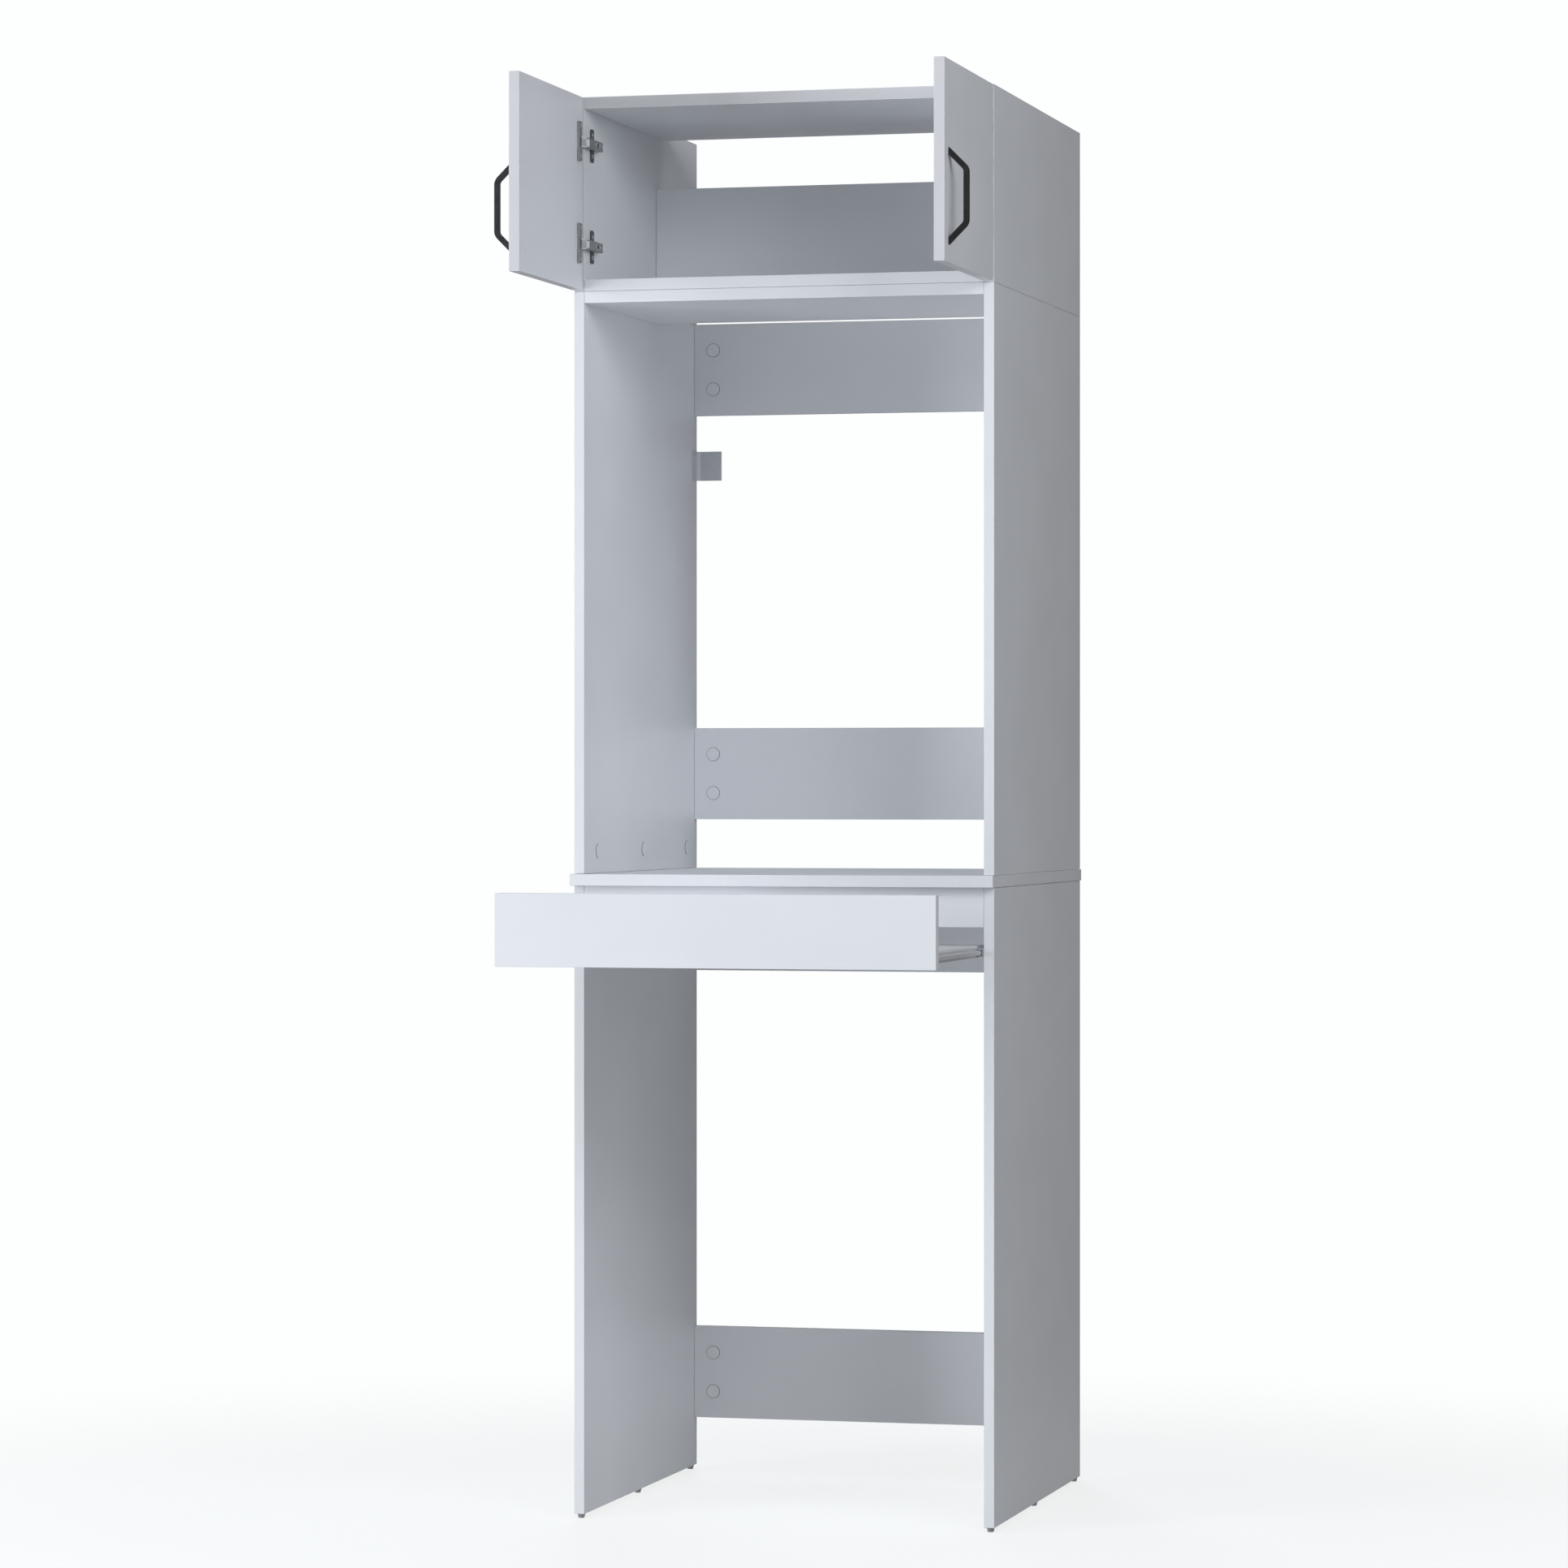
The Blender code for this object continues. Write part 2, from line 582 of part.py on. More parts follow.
def make_brackets(shop):
    """Add the folded brackets behind the middle sides, with their screws."""
    near = FIT + BRACKET_SHEET / 2
    rear = DEPTH - near
    level = MIDDLE_TOP - BRACKET_DROP - BRACKET_H / 2
    tab_middle = (DEPTH - BRACKET_REACH + rear - BRACKET_JOGGLE) / 2
    for hand, side in SIDES:
        corners = (
            (near, DEPTH - BRACKET_REACH),
            (near, rear - BRACKET_JOGGLE),
            (near + BRACKET_JOGGLE, rear),
            (near + BRACKET_JOGGLE + BRACKET_PLATE, rear),
        )
        points = [(side * (WALL - off), depth, level - BRACKET_H / 2) for off, depth in corners]
        body = bmesh.new()
        ribbon(body, points, (0, 0, BRACKET_H))
        name = f"wall_bracket_{hand}"
        shop.sheet(name, body, BRACKET_SHEET, "carcass", "zinc")
        middle = side * (WALL - near - BRACKET_JOGGLE - BRACKET_PLATE / 2)
        plate = Vector((middle, rear, level))
        through = Vector((0, BRACKET_SHEET / 2 + OVERRUN, 0))
        shop.hole(name, plate - through, plate + through, WALL_HOLE_RADIUS, PIN_SIDES)
        outward = Vector((side, 0, 0))
        for up in (-BRACKET_SCREW_SPACING / 2, BRACKET_SCREW_SPACING / 2):
            seat = Vector((side * (WALL - FIT - BRACKET_SHEET), tab_middle, level + up))
            shop.screw(Screw(name, f"middle_side_{hand}", seat, outward, BRACKET_SHEET), BRACKET_SCREW)


def make_tray(shop):
    """Add the tray board, the drawer front on it, and the cam locks that hold the front."""
    half = WIDTH / 2 + WORKTOP_OVERHANG
    front = Box(Vector((-half, -FRONT_GAP - BOARD_T, FRONT_LOW)), Vector((half, -FRONT_GAP, FRONT_TOP)))
    shop.board("drawer_front", front, "tray")
    edge = FIT - FRONT_GAP
    top = TRAY_LOW + BOARD_T
    tray = Box(Vector((-TRAY_HALF, edge, TRAY_LOW)), Vector((TRAY_HALF, edge + TRAY_DEPTH, top)))
    shop.board("tray_board", tray, "tray")
    down, forward = Vector((0, 0, -1)), Vector((0, -1, 0))
    slot_half = Vector((CAM_SLOT_WIDTH / 2, CAM_RADIUS / 2, 0))
    for place, step in (("left", -1), ("middle", 0), ("right", 1)):
        centre = Vector((step * TRAY_CAM_PITCH, edge + CAM_SETBACK, TRAY_LOW))
        fitting = Fitting(
            "tray_board", "drawer_front", centre, down, forward, CAM_SETBACK, BOARD_T, False
        )
        face, floor = shop.fitting(fitting)
        shop.hole("tray_board", face + down * OVERRUN, floor, CAM_RADIUS + FIT, CAM_SIDES, "wide")
        body, slot = bmesh.new(), bmesh.new()
        low = face - down * FIT
        rod(body, low, floor + down * FIT, CAM_RADIUS, CAM_SIDES)
        block(slot, low - slot_half + down * OVERRUN, low + slot_half - down * CAM_SLOT_DEPTH)
        name = f"tray_cam_lock_{place}"
        shop.add(name, body, "tray", "zinc")
        shop.combine(name, slot, "DIFFERENCE")


def slide_chains(side):
    """Return a runner's three sections as chains of points (fixed, on the tray, cage) and its track."""
    def section(corners):
        return [(side * (WALL - off), 0, SLIDE_MIDDLE + up) for off, up in corners]

    half_sheet = SLIDE_SHEET / 2
    web = FIT + half_sheet
    lip = SLIDE_H / 2 - half_sheet
    foot = SLIDE_ROOM - FIT - half_sheet
    hat = foot - (TRAY_MEMBER_DEPTH - SLIDE_SHEET)
    hat_half = TRAY_MEMBER_HAT_H / 2 - half_sheet
    track = (SLIDE_H / 2 - SLIDE_SHEET + TRAY_MEMBER_HAT_H / 2) / 2
    cage_web = FIT + SLIDE_SHEET + CAGE_GAP + CAGE_SHEET / 2
    fixed_tip = FIT + FIXED_MEMBER_DEPTH
    fixed = section([(fixed_tip, lip), (web, lip), (web, -lip), (fixed_tip, -lip)])
    tray = section([
        (foot, SLIDE_H / 2), (foot, hat_half), (hat, hat_half),
        (hat, -hat_half), (foot, -hat_half), (foot, -SLIDE_H / 2),
    ])
    tip = CAGE_TIP_DISTANCE
    cage = section([(tip, track), (cage_web, track), (cage_web, -track), (tip, -track)])
    return fixed, tray, cage, track


def make_slide(shop, hand, side):
    """Add one runner: the fixed member, the tray's member, and the cage with its balls between them."""
    fixed, tray, cage, track = slide_chains(side)
    names = (f"slide_cabinet_{hand}", f"slide_tray_{hand}", f"ball_cage_{hand}")
    carriers = ("carcass", "tray", f"ball_cage_{hand}_carrier")
    cage_front = SLIDE_SETBACK + TRAY_TRAVEL / 2
    spans = ((SLIDE_SETBACK, SLIDE_LENGTH), (SLIDE_SETBACK, SLIDE_LENGTH), (cage_front, CAGE_LENGTH))
    sheets = (SLIDE_SHEET, SLIDE_SHEET, CAGE_SHEET)
    for name, carrier, chain, span, sheet in zip(names, carriers, (fixed, tray, cage), spans, sheets):
        body = bmesh.new()
        ribbon(body, [Vector(point) + Vector((0, span[0], 0)) for point in chain], (0, span[1], 0))
        shop.sheet(name, body, sheet, carrier, "zinc")
    balls = bmesh.new()
    radius = (SLIDE_H / 2 - SLIDE_SHEET - TRAY_MEMBER_HAT_H / 2) / 2 - FIT
    first = cage_front + (CAGE_LENGTH - BALL_PITCH * (BALLS_PER_TRACK - 1)) / 2
    for step in range(BALLS_PER_TRACK):
        place = Vector((side * (WALL - BALL_DISTANCE), first + step * BALL_PITCH, SLIDE_MIDDLE))
        for up in (-track, track):
            matrix = Matrix.Translation(place + Vector((0, 0, up)))
            bmesh.ops.create_uvsphere(
                balls, u_segments=BALL_SEGMENTS, v_segments=BALL_RINGS, radius=radius, matrix=matrix
            )
    shop.combine(names[2], balls, "UNION")
    outward = Vector((side, 0, 0))
    for share in SLIDE_SCREW_SHARES:
        depth = SLIDE_SETBACK + SLIDE_LENGTH * share
        seat = Vector((side * (WALL - FIT - SLIDE_SHEET), depth, SLIDE_MIDDLE))
        shop.screw(Screw(names[0], f"lower_side_{hand}", seat, outward, SLIDE_SHEET), FIXED_SLIDE_SCREW)
        top = side * (WALL - SLIDE_ROOM + FIT + TRAY_MEMBER_DEPTH)
        seat = Vector((top, depth, SLIDE_MIDDLE))
        shop.screw(Screw(names[1], "tray_board", seat, -outward, SLIDE_SHEET), TRAY_SLIDE_SCREW)


def handle_outline():
    """Return a bow handle's outline: up the door on the first axis, out from it on the second."""
    turn = HANDLE_BEND
    foot = HANDLE_SPAN / 2
    inner_foot = foot - HANDLE_BAR / sin(turn)
    outer_radius = HANDLE_BEND_RADIUS + HANDLE_BAR / 2
    inner_radius = HANDLE_BEND_RADIUS - HANDLE_BAR / 2
    outer_bend = foot - HANDLE_PROJECTION / tan(turn) - outer_radius * tan(turn / 2)
    inner_out = HANDLE_PROJECTION - HANDLE_BAR
    inner_bend = inner_foot - inner_out / tan(turn) - inner_radius * tan(turn / 2)
    lean = FIT / tan(turn)
    right, up = pi / 2, pi / 2 - turn
    outer = arc((outer_bend, HANDLE_PROJECTION - outer_radius), outer_radius, up, right, BEND_STEPS)
    inner = arc((inner_bend, inner_out - inner_radius), inner_radius, up, right, BEND_STEPS)
    half = [(foot - lean, FIT), *outer]
    under = [(inner_foot - lean, FIT), *inner]
    mirrored_half = [(-place, out) for place, out in reversed(half)]
    mirrored_under = [(-place, out) for place, out in under]
    return half + mirrored_half + mirrored_under + under[::-1]


def make_door(shop, hand, side):
    """Add a door with its bow handle and the screws that hold the handle."""
    free = side * DOOR_MEETING_GAP / 2
    edge = side * (WIDTH / 2 - DOOR_EDGE_REVEAL)
    carrier = f"door_{hand}_carrier"
    door = f"door_{hand}"
    box = Box(Vector((free, DOOR_FACE, DOOR_LOW)), Vector((edge, -DOOR_GAP, DOOR_TOP)))
    shop.board(door, box, carrier)
    middle = Vector((free + side * HANDLE_INSET, DOOR_FACE, DOOR_LOW + HANDLE_RISE))
    body = slab([handle_outline()], HANDLE_WIDTH)
    facing = Matrix(((0, 0, 1, 0), (0, -1, 0, 0), (1, 0, 0, 0), (0, 0, 0, 1)))
    handle = f"handle_{hand}"
    shop.add(handle, moved(body, Matrix.Translation(middle) @ facing), carrier, "black_lacquer")
    out = Vector((0, -1, 0))
    wide = HANDLE_SCREW_HEAD_RADIUS + FIT
    for level, up in (("lower", -HANDLE_SCREW_SPACING / 2), ("upper", HANDLE_SCREW_SPACING / 2)):
        face = Vector((middle.x, -DOOR_GAP, middle.z + up))
        seat = face + out * HANDLE_SCREW_HEAD_HEIGHT
        tip = face + out * (DOOR_T + HANDLE_SCREW_GRIP)
        body = bmesh.new()
        rod(body, face, seat, HANDLE_SCREW_HEAD_RADIUS, SCREW_SIDES)
        name = f"handle_screw_{hand}_{level}"
        shop.add(name, body, carrier, "white_plastic")
        shop.stud(name, (face + seat) / 2, tip, HANDLE_SCREW_RADIUS, SHANK_SIDES)
        shop.hole(door, face - out * OVERRUN, seat + out * FIT, wide, SCREW_SIDES, "wide")
        for piece in (door, handle):
            shop.hole(piece, face, tip + out * FIT, HANDLE_SCREW_RADIUS + FIT, SHANK_SIDES)


def make_cup(shop, hand, side, place, level):
    """Add a hinge cup sunk in its door, with its wings and their screws."""
    door, name = f"door_{hand}", f"hinge_cup_{hand}_{place}"
    shell, wings, hollow = bmesh.new(), bmesh.new(), bmesh.new()
    out = Vector((0, 1, 0))
    face = Vector((side * CUP_X, -DOOR_GAP, level))
    floor = face - out * (CUP_BORE_DEPTH - FIT)
    rim = face + out * CUP_PROUD
    rod(shell, floor, rim, CUP_RADIUS, CUP_SIDES)
    rod(hollow, floor + out * CUP_WALL, rim + out * OVERRUN, CUP_RADIUS - CUP_WALL, CUP_SIDES)
    bore = CUP_RADIUS + FIT
    shop.hole(door, face - out * CUP_BORE_DEPTH, face + out * OVERRUN, bore, CUP_SIDES, "wide")
    outer = side * (WALL - WING_WALL_GAP)
    inner = outer - side * WING_WIDTH
    low = FIT - DOOR_GAP
    top = low + WING_HEIGHT
    for up in (-1, 1):
        block(wings, (inner, low, level + up * WING_INNER), (outer, top, level + up * WING_OUTER))
    shop.add(name, shell, f"door_{hand}_carrier", "zinc")
    shop.combine(name, hollow, "DIFFERENCE")
    shop.combine(name, wings, "UNION")
    for up in (-WING_SCREW_PLACE, WING_SCREW_PLACE):
        seat = Vector(((inner + outer) / 2, top, level + up))
        shop.screw(Screw(name, door, seat, -out, WING_HEIGHT), WING_SCREW)


def make_arm(shop, hand, side, place, level):
    """Add a hinge arm, folded from sheet, with its slot and notch, its pin and its two screws."""
    name = f"hinge_arm_{hand}_{place}"
    half_sheet = ARM_SHEET / 2
    top = side * (ARM_TOP_X + half_sheet)
    foot = side * ARM_FOOT_X
    lip = ARM_WIDTH / 2 - half_sheet
    body, cuts = bmesh.new(), bmesh.new()
    corners = ((foot, lip), (top, lip), (top, -lip), (foot, -lip))
    chain = [(across, -ARM_REACH, level + up) for across, up in corners]
    ribbon(body, chain, (0, ARM_REACH + ARM_REAR, 0))
    through = Vector((side * (half_sheet + OVERRUN), 0, 0))
    low = Vector((top, ARM_SLOT_FRONT, level - ARM_SLOT_WIDTH / 2)) - through
    high = Vector((top, ARM_SLOT_REAR, level + ARM_SLOT_WIDTH / 2)) + through
    block(cuts, low, high)
    notch = Vector((top, ARM_REAR, level))
    rod(cuts, notch - through, notch + through, ARM_NOTCH_RADIUS, PIN_SIDES)
    shop.sheet(name, body, ARM_SHEET, "carcass", "zinc")
    shop.combine(name, cuts, "DIFFERENCE")
    pin = Vector((side * LINK_X, -HINGE_PIN_REACH, level))
    reach = Vector((0, 0, ARM_WIDTH / 2 + FIT))
    shop.stud(name, pin - reach, pin + reach, HINGE_PIN_RADIUS, PIN_SIDES, "head")
    outward = Vector((side, 0, 0))
    for depth in ARM_SCREW_PLACES:
        seat = Vector((side * ARM_TOP_X, depth, level))
        plate = f"hinge_plate_{hand}_{place}"
        shop.screw(Screw(name, plate, seat, outward, ARM_SHEET), ARM_SCREW)


def make_link(shop, hand, side, place, level):
    """Add the link that turns on an arm's pin as the door swings."""
    flank = asin(LINK_T / 2 / KNUCKLE_RADIUS)
    end_flank = asin(LINK_T / 2 / LINK_TIP_RADIUS)
    knuckle = arc((0, 0), KNUCKLE_RADIUS, flank, 2 * pi - flank, KNUCKLE_STEPS)
    tip = arc((LINK_LENGTH, 0), LINK_TIP_RADIUS, end_flank - pi, pi - end_flank, TIP_STEPS)
    bore = arc((0, 0), HINGE_PIN_RADIUS + FIT, 0, 2 * pi * (1 - 1 / PIN_SIDES), PIN_SIDES - 1)
    width = ARM_WIDTH - 2 * ARM_SHEET - 2 * FIT
    facing = 0 if side > 0 else pi
    turn = Matrix.Rotation(facing + side * LINK_SHUT_ANGLE, 4, "Z")
    pin = Matrix.Translation((side * LINK_X, -HINGE_PIN_REACH, level))
    body = moved(slab([knuckle + tip, bore], width), pin @ turn)
    shop.add(f"hinge_link_{hand}_{place}", body, f"hinge_link_{hand}_carrier", "bright_steel")


def make_plate(shop, hand, side, place, level):
    """Add the plate that a hinge arm is clamped to, with its screws into the cupboard's side."""
    name = f"hinge_plate_{hand}_{place}"
    strip, boss = bmesh.new(), bmesh.new()
    top = side * (SPAN - PLATE_T)
    low = (top, PLATE_PLACE - PLATE_WIDTH / 2, level - PLATE_LENGTH / 2)
    block(strip, low, (side * SPAN, PLATE_PLACE + PLATE_WIDTH / 2, level + PLATE_LENGTH / 2))
    boss_top = side * (ARM_TOP_X + ARM_SHEET + FIT)
    boss_half = ARM_WIDTH / 2 - ARM_SHEET - 2 * FIT
    foot = side * (SPAN - PLATE_T / 2)
    block(boss, (boss_top, BOSS_FRONT, level - boss_half), (foot, BOSS_REAR, level + boss_half))
    shop.add(name, strip, "carcass", "zinc")
    shop.combine(name, boss, "UNION")
    outward = Vector((side, 0, 0))
    for up in (-PLATE_SCREW_SPACING / 2, PLATE_SCREW_SPACING / 2):
        seat = Vector((top, PLATE_PLACE, level + up))
        shop.screw(Screw(name, f"cupboard_side_{hand}", seat, outward, PLATE_T), PLATE_SCREW)


def main():
    """Build the whole cabinet."""
    for thing in list(bpy.data.objects):
        bpy.data.objects.remove(thing)
    shop = Workshop()
    make_carriers(shop)
    boxes = carcass_boxes()
    for name, box in boxes.items():
        shop.board(name, box)
    for fitting in carcass_fittings(boxes):
        shop.fitting(fitting)
    make_feet(shop)
    make_dowels(shop)
    make_brackets(shop)
    make_tray(shop)
    for hand, side in SIDES:
        make_slide(shop, hand, side)
        make_door(shop, hand, side)
        for place, level in HINGES:
            make_cup(shop, hand, side, place, level)
            make_plate(shop, hand, side, place, level)
            make_arm(shop, hand, side, place, level)
            make_link(shop, hand, side, place, level)
    shop.finish()


main()
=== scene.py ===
"""Dress the washing machine cabinet: fine boards, caps, hinges, runners, handles and finishes.

Lengths are in metres. Hardware is built in cabinet coordinates, as the parts lie with the doors shut
and the tray pushed in: x runs to the right from the middle, y back from the front edges of the sides,
z up from the floor. The rest pose then brings each piece to where its body lies in the frame.
"""

import logging
from abc import ABC, abstractmethod
from collections import defaultdict
from dataclasses import dataclass, field
from enum import Enum
from math import cos, pi, radians, sin, tan
from typing import Callable, Iterable, Sequence

import bmesh
import bpy
from mathutils import Matrix, Vector
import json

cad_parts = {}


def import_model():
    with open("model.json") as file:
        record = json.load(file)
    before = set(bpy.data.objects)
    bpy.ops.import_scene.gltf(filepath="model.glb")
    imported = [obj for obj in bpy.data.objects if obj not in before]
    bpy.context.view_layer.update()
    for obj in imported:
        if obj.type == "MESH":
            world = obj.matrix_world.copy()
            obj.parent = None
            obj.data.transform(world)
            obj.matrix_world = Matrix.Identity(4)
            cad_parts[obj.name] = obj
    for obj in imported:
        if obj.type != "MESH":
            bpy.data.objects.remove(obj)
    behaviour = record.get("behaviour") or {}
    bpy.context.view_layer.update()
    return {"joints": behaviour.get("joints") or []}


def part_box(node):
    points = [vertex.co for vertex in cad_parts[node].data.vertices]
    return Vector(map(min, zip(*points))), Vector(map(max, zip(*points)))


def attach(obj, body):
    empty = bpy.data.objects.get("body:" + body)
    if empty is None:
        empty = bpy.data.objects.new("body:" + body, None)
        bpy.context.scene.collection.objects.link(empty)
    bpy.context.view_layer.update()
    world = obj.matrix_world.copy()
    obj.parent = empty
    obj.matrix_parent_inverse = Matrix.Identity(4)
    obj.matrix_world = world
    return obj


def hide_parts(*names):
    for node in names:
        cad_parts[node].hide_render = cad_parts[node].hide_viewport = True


log = logging.getLogger("cabinet")

Colour = tuple[float, float, float]
Place = tuple[float, float, float]
Point = tuple[float, float]
Pair = tuple[float, float]
Box = tuple[Vector, Vector]
Socket = bpy.types.NodeSocket

RIGHT = Vector((1, 0, 0))
BACK = Vector((0, 1, 0))
UP = Vector((0, 0, 1))

# The clearance between pieces that meet, and how far a cutter runs past what it cuts.
FIT = 0.0003
OVERRUN = 0.001

# Points nearer than this are one; a normal straighter than this lies along its axis.
MERGE = 0.000002
STRAIGHT = 0.999

# Edges that bend more than this stay sharp.
SHARP_ANGLE = radians(38)

# Faces round a turned piece and a small hole, along a bend, and across a rounding that shows.
TURN_STEPS = 48
HOLE_STEPS = 24
BEND_STEPS = 6
ROUND_STEPS = 3

# How wide the doors stand open at rest, and the share of a part's motion that its follower makes.
OPENING = radians(90)
LINK_RATIO = -0.334
CAGE_RATIO = 0.5

# The noise values that a finish's tones and its other ranges are spread over, and the clouds' detail.
DRIFT = (0.3, 0.7)
MIDDLE_HALF = (0.25, 0.75)
CLOUD_DETAIL = 3.0

GLIDE_PLACES = ("front", "middle", "rear")
LOCK_PLACES = ("left", "middle", "right")


class Hand(Enum):
    """One side of the cabinet as seen from the front, with the sign of its x."""

    LEFT = -1
    RIGHT = 1

    @property
    def word(self) -> str:
        """The hand's name as the nodes spell it."""
        return self.name.lower()

    @property
    def outward(self) -> Vector:
        """The direction away from the cabinet's middle."""
        return RIGHT * self.value

    @property
    def inward(self) -> Vector:
        """The direction towards the cabinet's middle."""
        return -RIGHT * self.value

    def inner(self, box: Box) -> float:
        """Give the x of a box's face towards the cabinet's middle."""
        return box[self is Hand.LEFT].x

    def outer(self, box: Box) -> float:
        """Give the x of a box's face away from the cabinet's middle."""
        return box[self is Hand.RIGHT].x


class Level(Enum):
    """One of the two heights on a door where a hinge and a handle's screw sit."""

    LOWER = "lower"
    UPPER = "upper"


class Side(Enum):
    """An outer side of a board, as the index of its axis and its direction along it."""

    LEFT = (0, -1)
    RIGHT = (0, 1)
    FRONT = (1, -1)
    REAR = (1, 1)
    BOTTOM = (2, -1)
    TOP = (2, 1)


class Surface(Enum):
    """What a face is finished with: the finish's name and the record's material slot."""

    FILM = ("melamine_film", "white_board")
    BAND = ("edge_band", "white_board")
    DOOR_BAND = ("door_edge_band", "white_board")
    # Painted shade: a greyer edge band that stands in for the shade on the cupboard's front edges.
    GREY_BAND = ("grey_edge_band", "white_board")
    CHIPBOARD = ("raw_chipboard", "white_board")
    CAP = ("white_plastic", "white_plastic")
    # Painted shade: a dark tone for the rim round each cover cap.
    CAP_RIM = ("shaded_white_plastic", "white_plastic")
    GLIDE = ("grey_plastic", "grey_plastic")
    SHEET = ("pale_sheet", "zinc")
    ZINC = ("zinc_plate", "zinc")
    DARK_ZINC = ("dark_zinc_plate", "zinc")
    SATIN = ("satin_nickel", "bright_steel")
    NICKEL = ("nickel_plate", "bright_steel")
    LACQUER = ("black_lacquer", "black_lacquer")


PALETTE = tuple(Surface)


class Graph:
    """A material's nodes, with short calls for the ones that the finishes share."""

    def __init__(self, name: str) -> None:
        """Start a material with a shader and the object's own coordinates.

        Args:
            name: The material's name.
        """
        self.material = bpy.data.materials.new(name)
        self.material.use_nodes = True
        self.tree = self.material.node_tree
        self.shader = self.tree.nodes["Principled BSDF"]
        self.place = self.node("ShaderNodeTexCoord").outputs["Object"]

    def node(self, kind: str, inputs: dict | None = None, **settings: object) -> bpy.types.Node:
        """Add a node.

        Args:
            kind: Blender's name for the node's type.
            inputs: What each named input takes: a value, or another node's output.
            settings: The node's own options.

        Returns:
            The new node.
        """
        made = self.tree.nodes.new(kind)
        for name, value in settings.items():
            setattr(made, name, value)
        for name, value in (inputs or {}).items():
            self.feed(made.inputs[name], value)
        return made

    def feed(self, socket: Socket, value: object) -> None:
        """Link an output to an input, or set the input's value.

        Args:
            socket: The input.
            value: The output or the value.
        """
        if isinstance(value, Socket):
            self.tree.links.new(value, socket)
        else:
            socket.default_value = value

    def shade(self, name: str, value: object) -> None:
        """Give one of the shader's inputs an output or a value."""
        self.feed(self.shader.inputs[name], value)

    def stretched(self, scale: Vector) -> Socket:
        """Give the object's coordinates, stretched along its axes."""
        inputs = {"Vector": self.place, "Scale": scale}
        return self.node("ShaderNodeMapping", inputs).outputs["Vector"]

    def noise(self, size: float, detail: float = 2.0, place: Socket | None = None) -> Socket:
        """Add noise.

        Args:
            size: The size of its grains.
            detail: How many finer layers lie on it.
            place: The coordinates, where they aren't the object's own.

        Returns:
            A value from 0 to 1.
        """
        inputs = {"Vector": place or self.place, "Scale": 1 / size, "Detail": detail}
        return self.node("ShaderNodeTexNoise", inputs).outputs["Fac"]

    def cells(self, size: float) -> bpy.types.Node:
        """Add a pattern of cells of a size."""
        return self.node("ShaderNodeTexVoronoi", {"Vector": self.place, "Scale": 1 / size})

    def tones(self, value: Socket, low: float, high: float, colours: Sequence[Colour]) -> Socket:
        """Turn a value into colours that follow each other evenly.

        Args:
            value: What picks the colour.
            low: The value of the first colour.
            high: The value of the last colour.
            colours: The colours.

        Returns:
            The colour output.
        """
        made = self.node("ShaderNodeValToRGB", {"Fac": value})
        stops = made.color_ramp.elements
        for _ in colours[2:]:
            stops.new(low)
        for index, (stop, colour) in enumerate(zip(stops, colours)):
            stop.position = low + (high - low) * index / (len(colours) - 1)
            stop.color = (*colour, 1)
        return made.outputs["Color"]

    def between(
        self, value: Socket, low: float, high: float, given: Pair = MIDDLE_HALF, **settings: str
    ) -> Socket:
        """Spread a value that lies in one range over another one.

        Args:
            value: The value.
            low: The least result.
            high: The greatest result.
            given: The range of the value.
            settings: The node's own options.

        Returns:
            The result.
        """
        ends = {"From Min": given[0], "From Max": given[1], "To Min": low, "To Max": high}
        return self.node("ShaderNodeMapRange", {"Value": value, **ends}, **settings).outputs["Result"]

    def relief(self, height: Socket, depth: float, under: Socket | None = None) -> Socket:
        """Raise the surface by a height pattern.

        Args:
            height: The pattern, from 0 to 1.
            depth: How high its peaks stand.
            under: The normal that it lies on, from another relief.

        Returns:
            The new normal.
        """
        inputs = {"Height": height, "Distance": depth}
        if under is not None:
            inputs["Normal"] = under
        return self.node("ShaderNodeBump", inputs).outputs["Normal"]


@dataclass(frozen=True)
class Finish(ABC):
    """What all finishes share: tones that drift into each other, and a range of roughness.

    Args:
        tones: The colours, from the darkest to the lightest.
        roughness: The lowest and the highest roughness.
        cloud: The size of the clouds in which tone and roughness drift.
        grain: The size of the fine texture.
        depth: How high the fine texture stands.
        metallic: 1 for bare metal.
    """

    tones: tuple[Colour, ...]
    roughness: Pair
    cloud: float
    grain: float
    depth: float
    metallic: float = 0.0

    def material(self, name: str) -> bpy.types.Material:
        """Make the finish's material.

        Args:
            name: The material's name.

        Returns:
            The material.
        """
        graph = Graph(name)
        cloud = graph.noise(self.cloud, CLOUD_DETAIL)
        graph.shade("Base Color", self.colour(graph, cloud))
        graph.shade("Roughness", graph.between(cloud, *self.roughness))
        graph.shade("Normal", self.normal(graph))
        graph.shade("Metallic", self.metallic)
        return graph.material

    def colour(self, graph: Graph, cloud: Socket) -> Socket:
        """Let the tones drift with the clouds."""
        return graph.tones(cloud, *DRIFT, self.tones)

    @abstractmethod
    def normal(self, graph: Graph) -> Socket:
        """Give the fine texture as a normal."""


@dataclass(frozen=True)
class Film(Finish):
    """A pressed melamine film: a fine pearl texture on a sheet that isn't quite flat.

    Args:
        ripple: The size of the sheet's long waves.
        ripple_depth: Their height.
    """

    ripple: float = 0.045
    ripple_depth: float = 0.00003

    def normal(self, graph: Graph) -> Socket:
        """Lay the pearl texture on the long waves."""
        waves = graph.relief(graph.noise(self.ripple, detail=1.0), self.ripple_depth)
        return graph.relief(graph.noise(self.grain, detail=1.0), self.depth, waves)


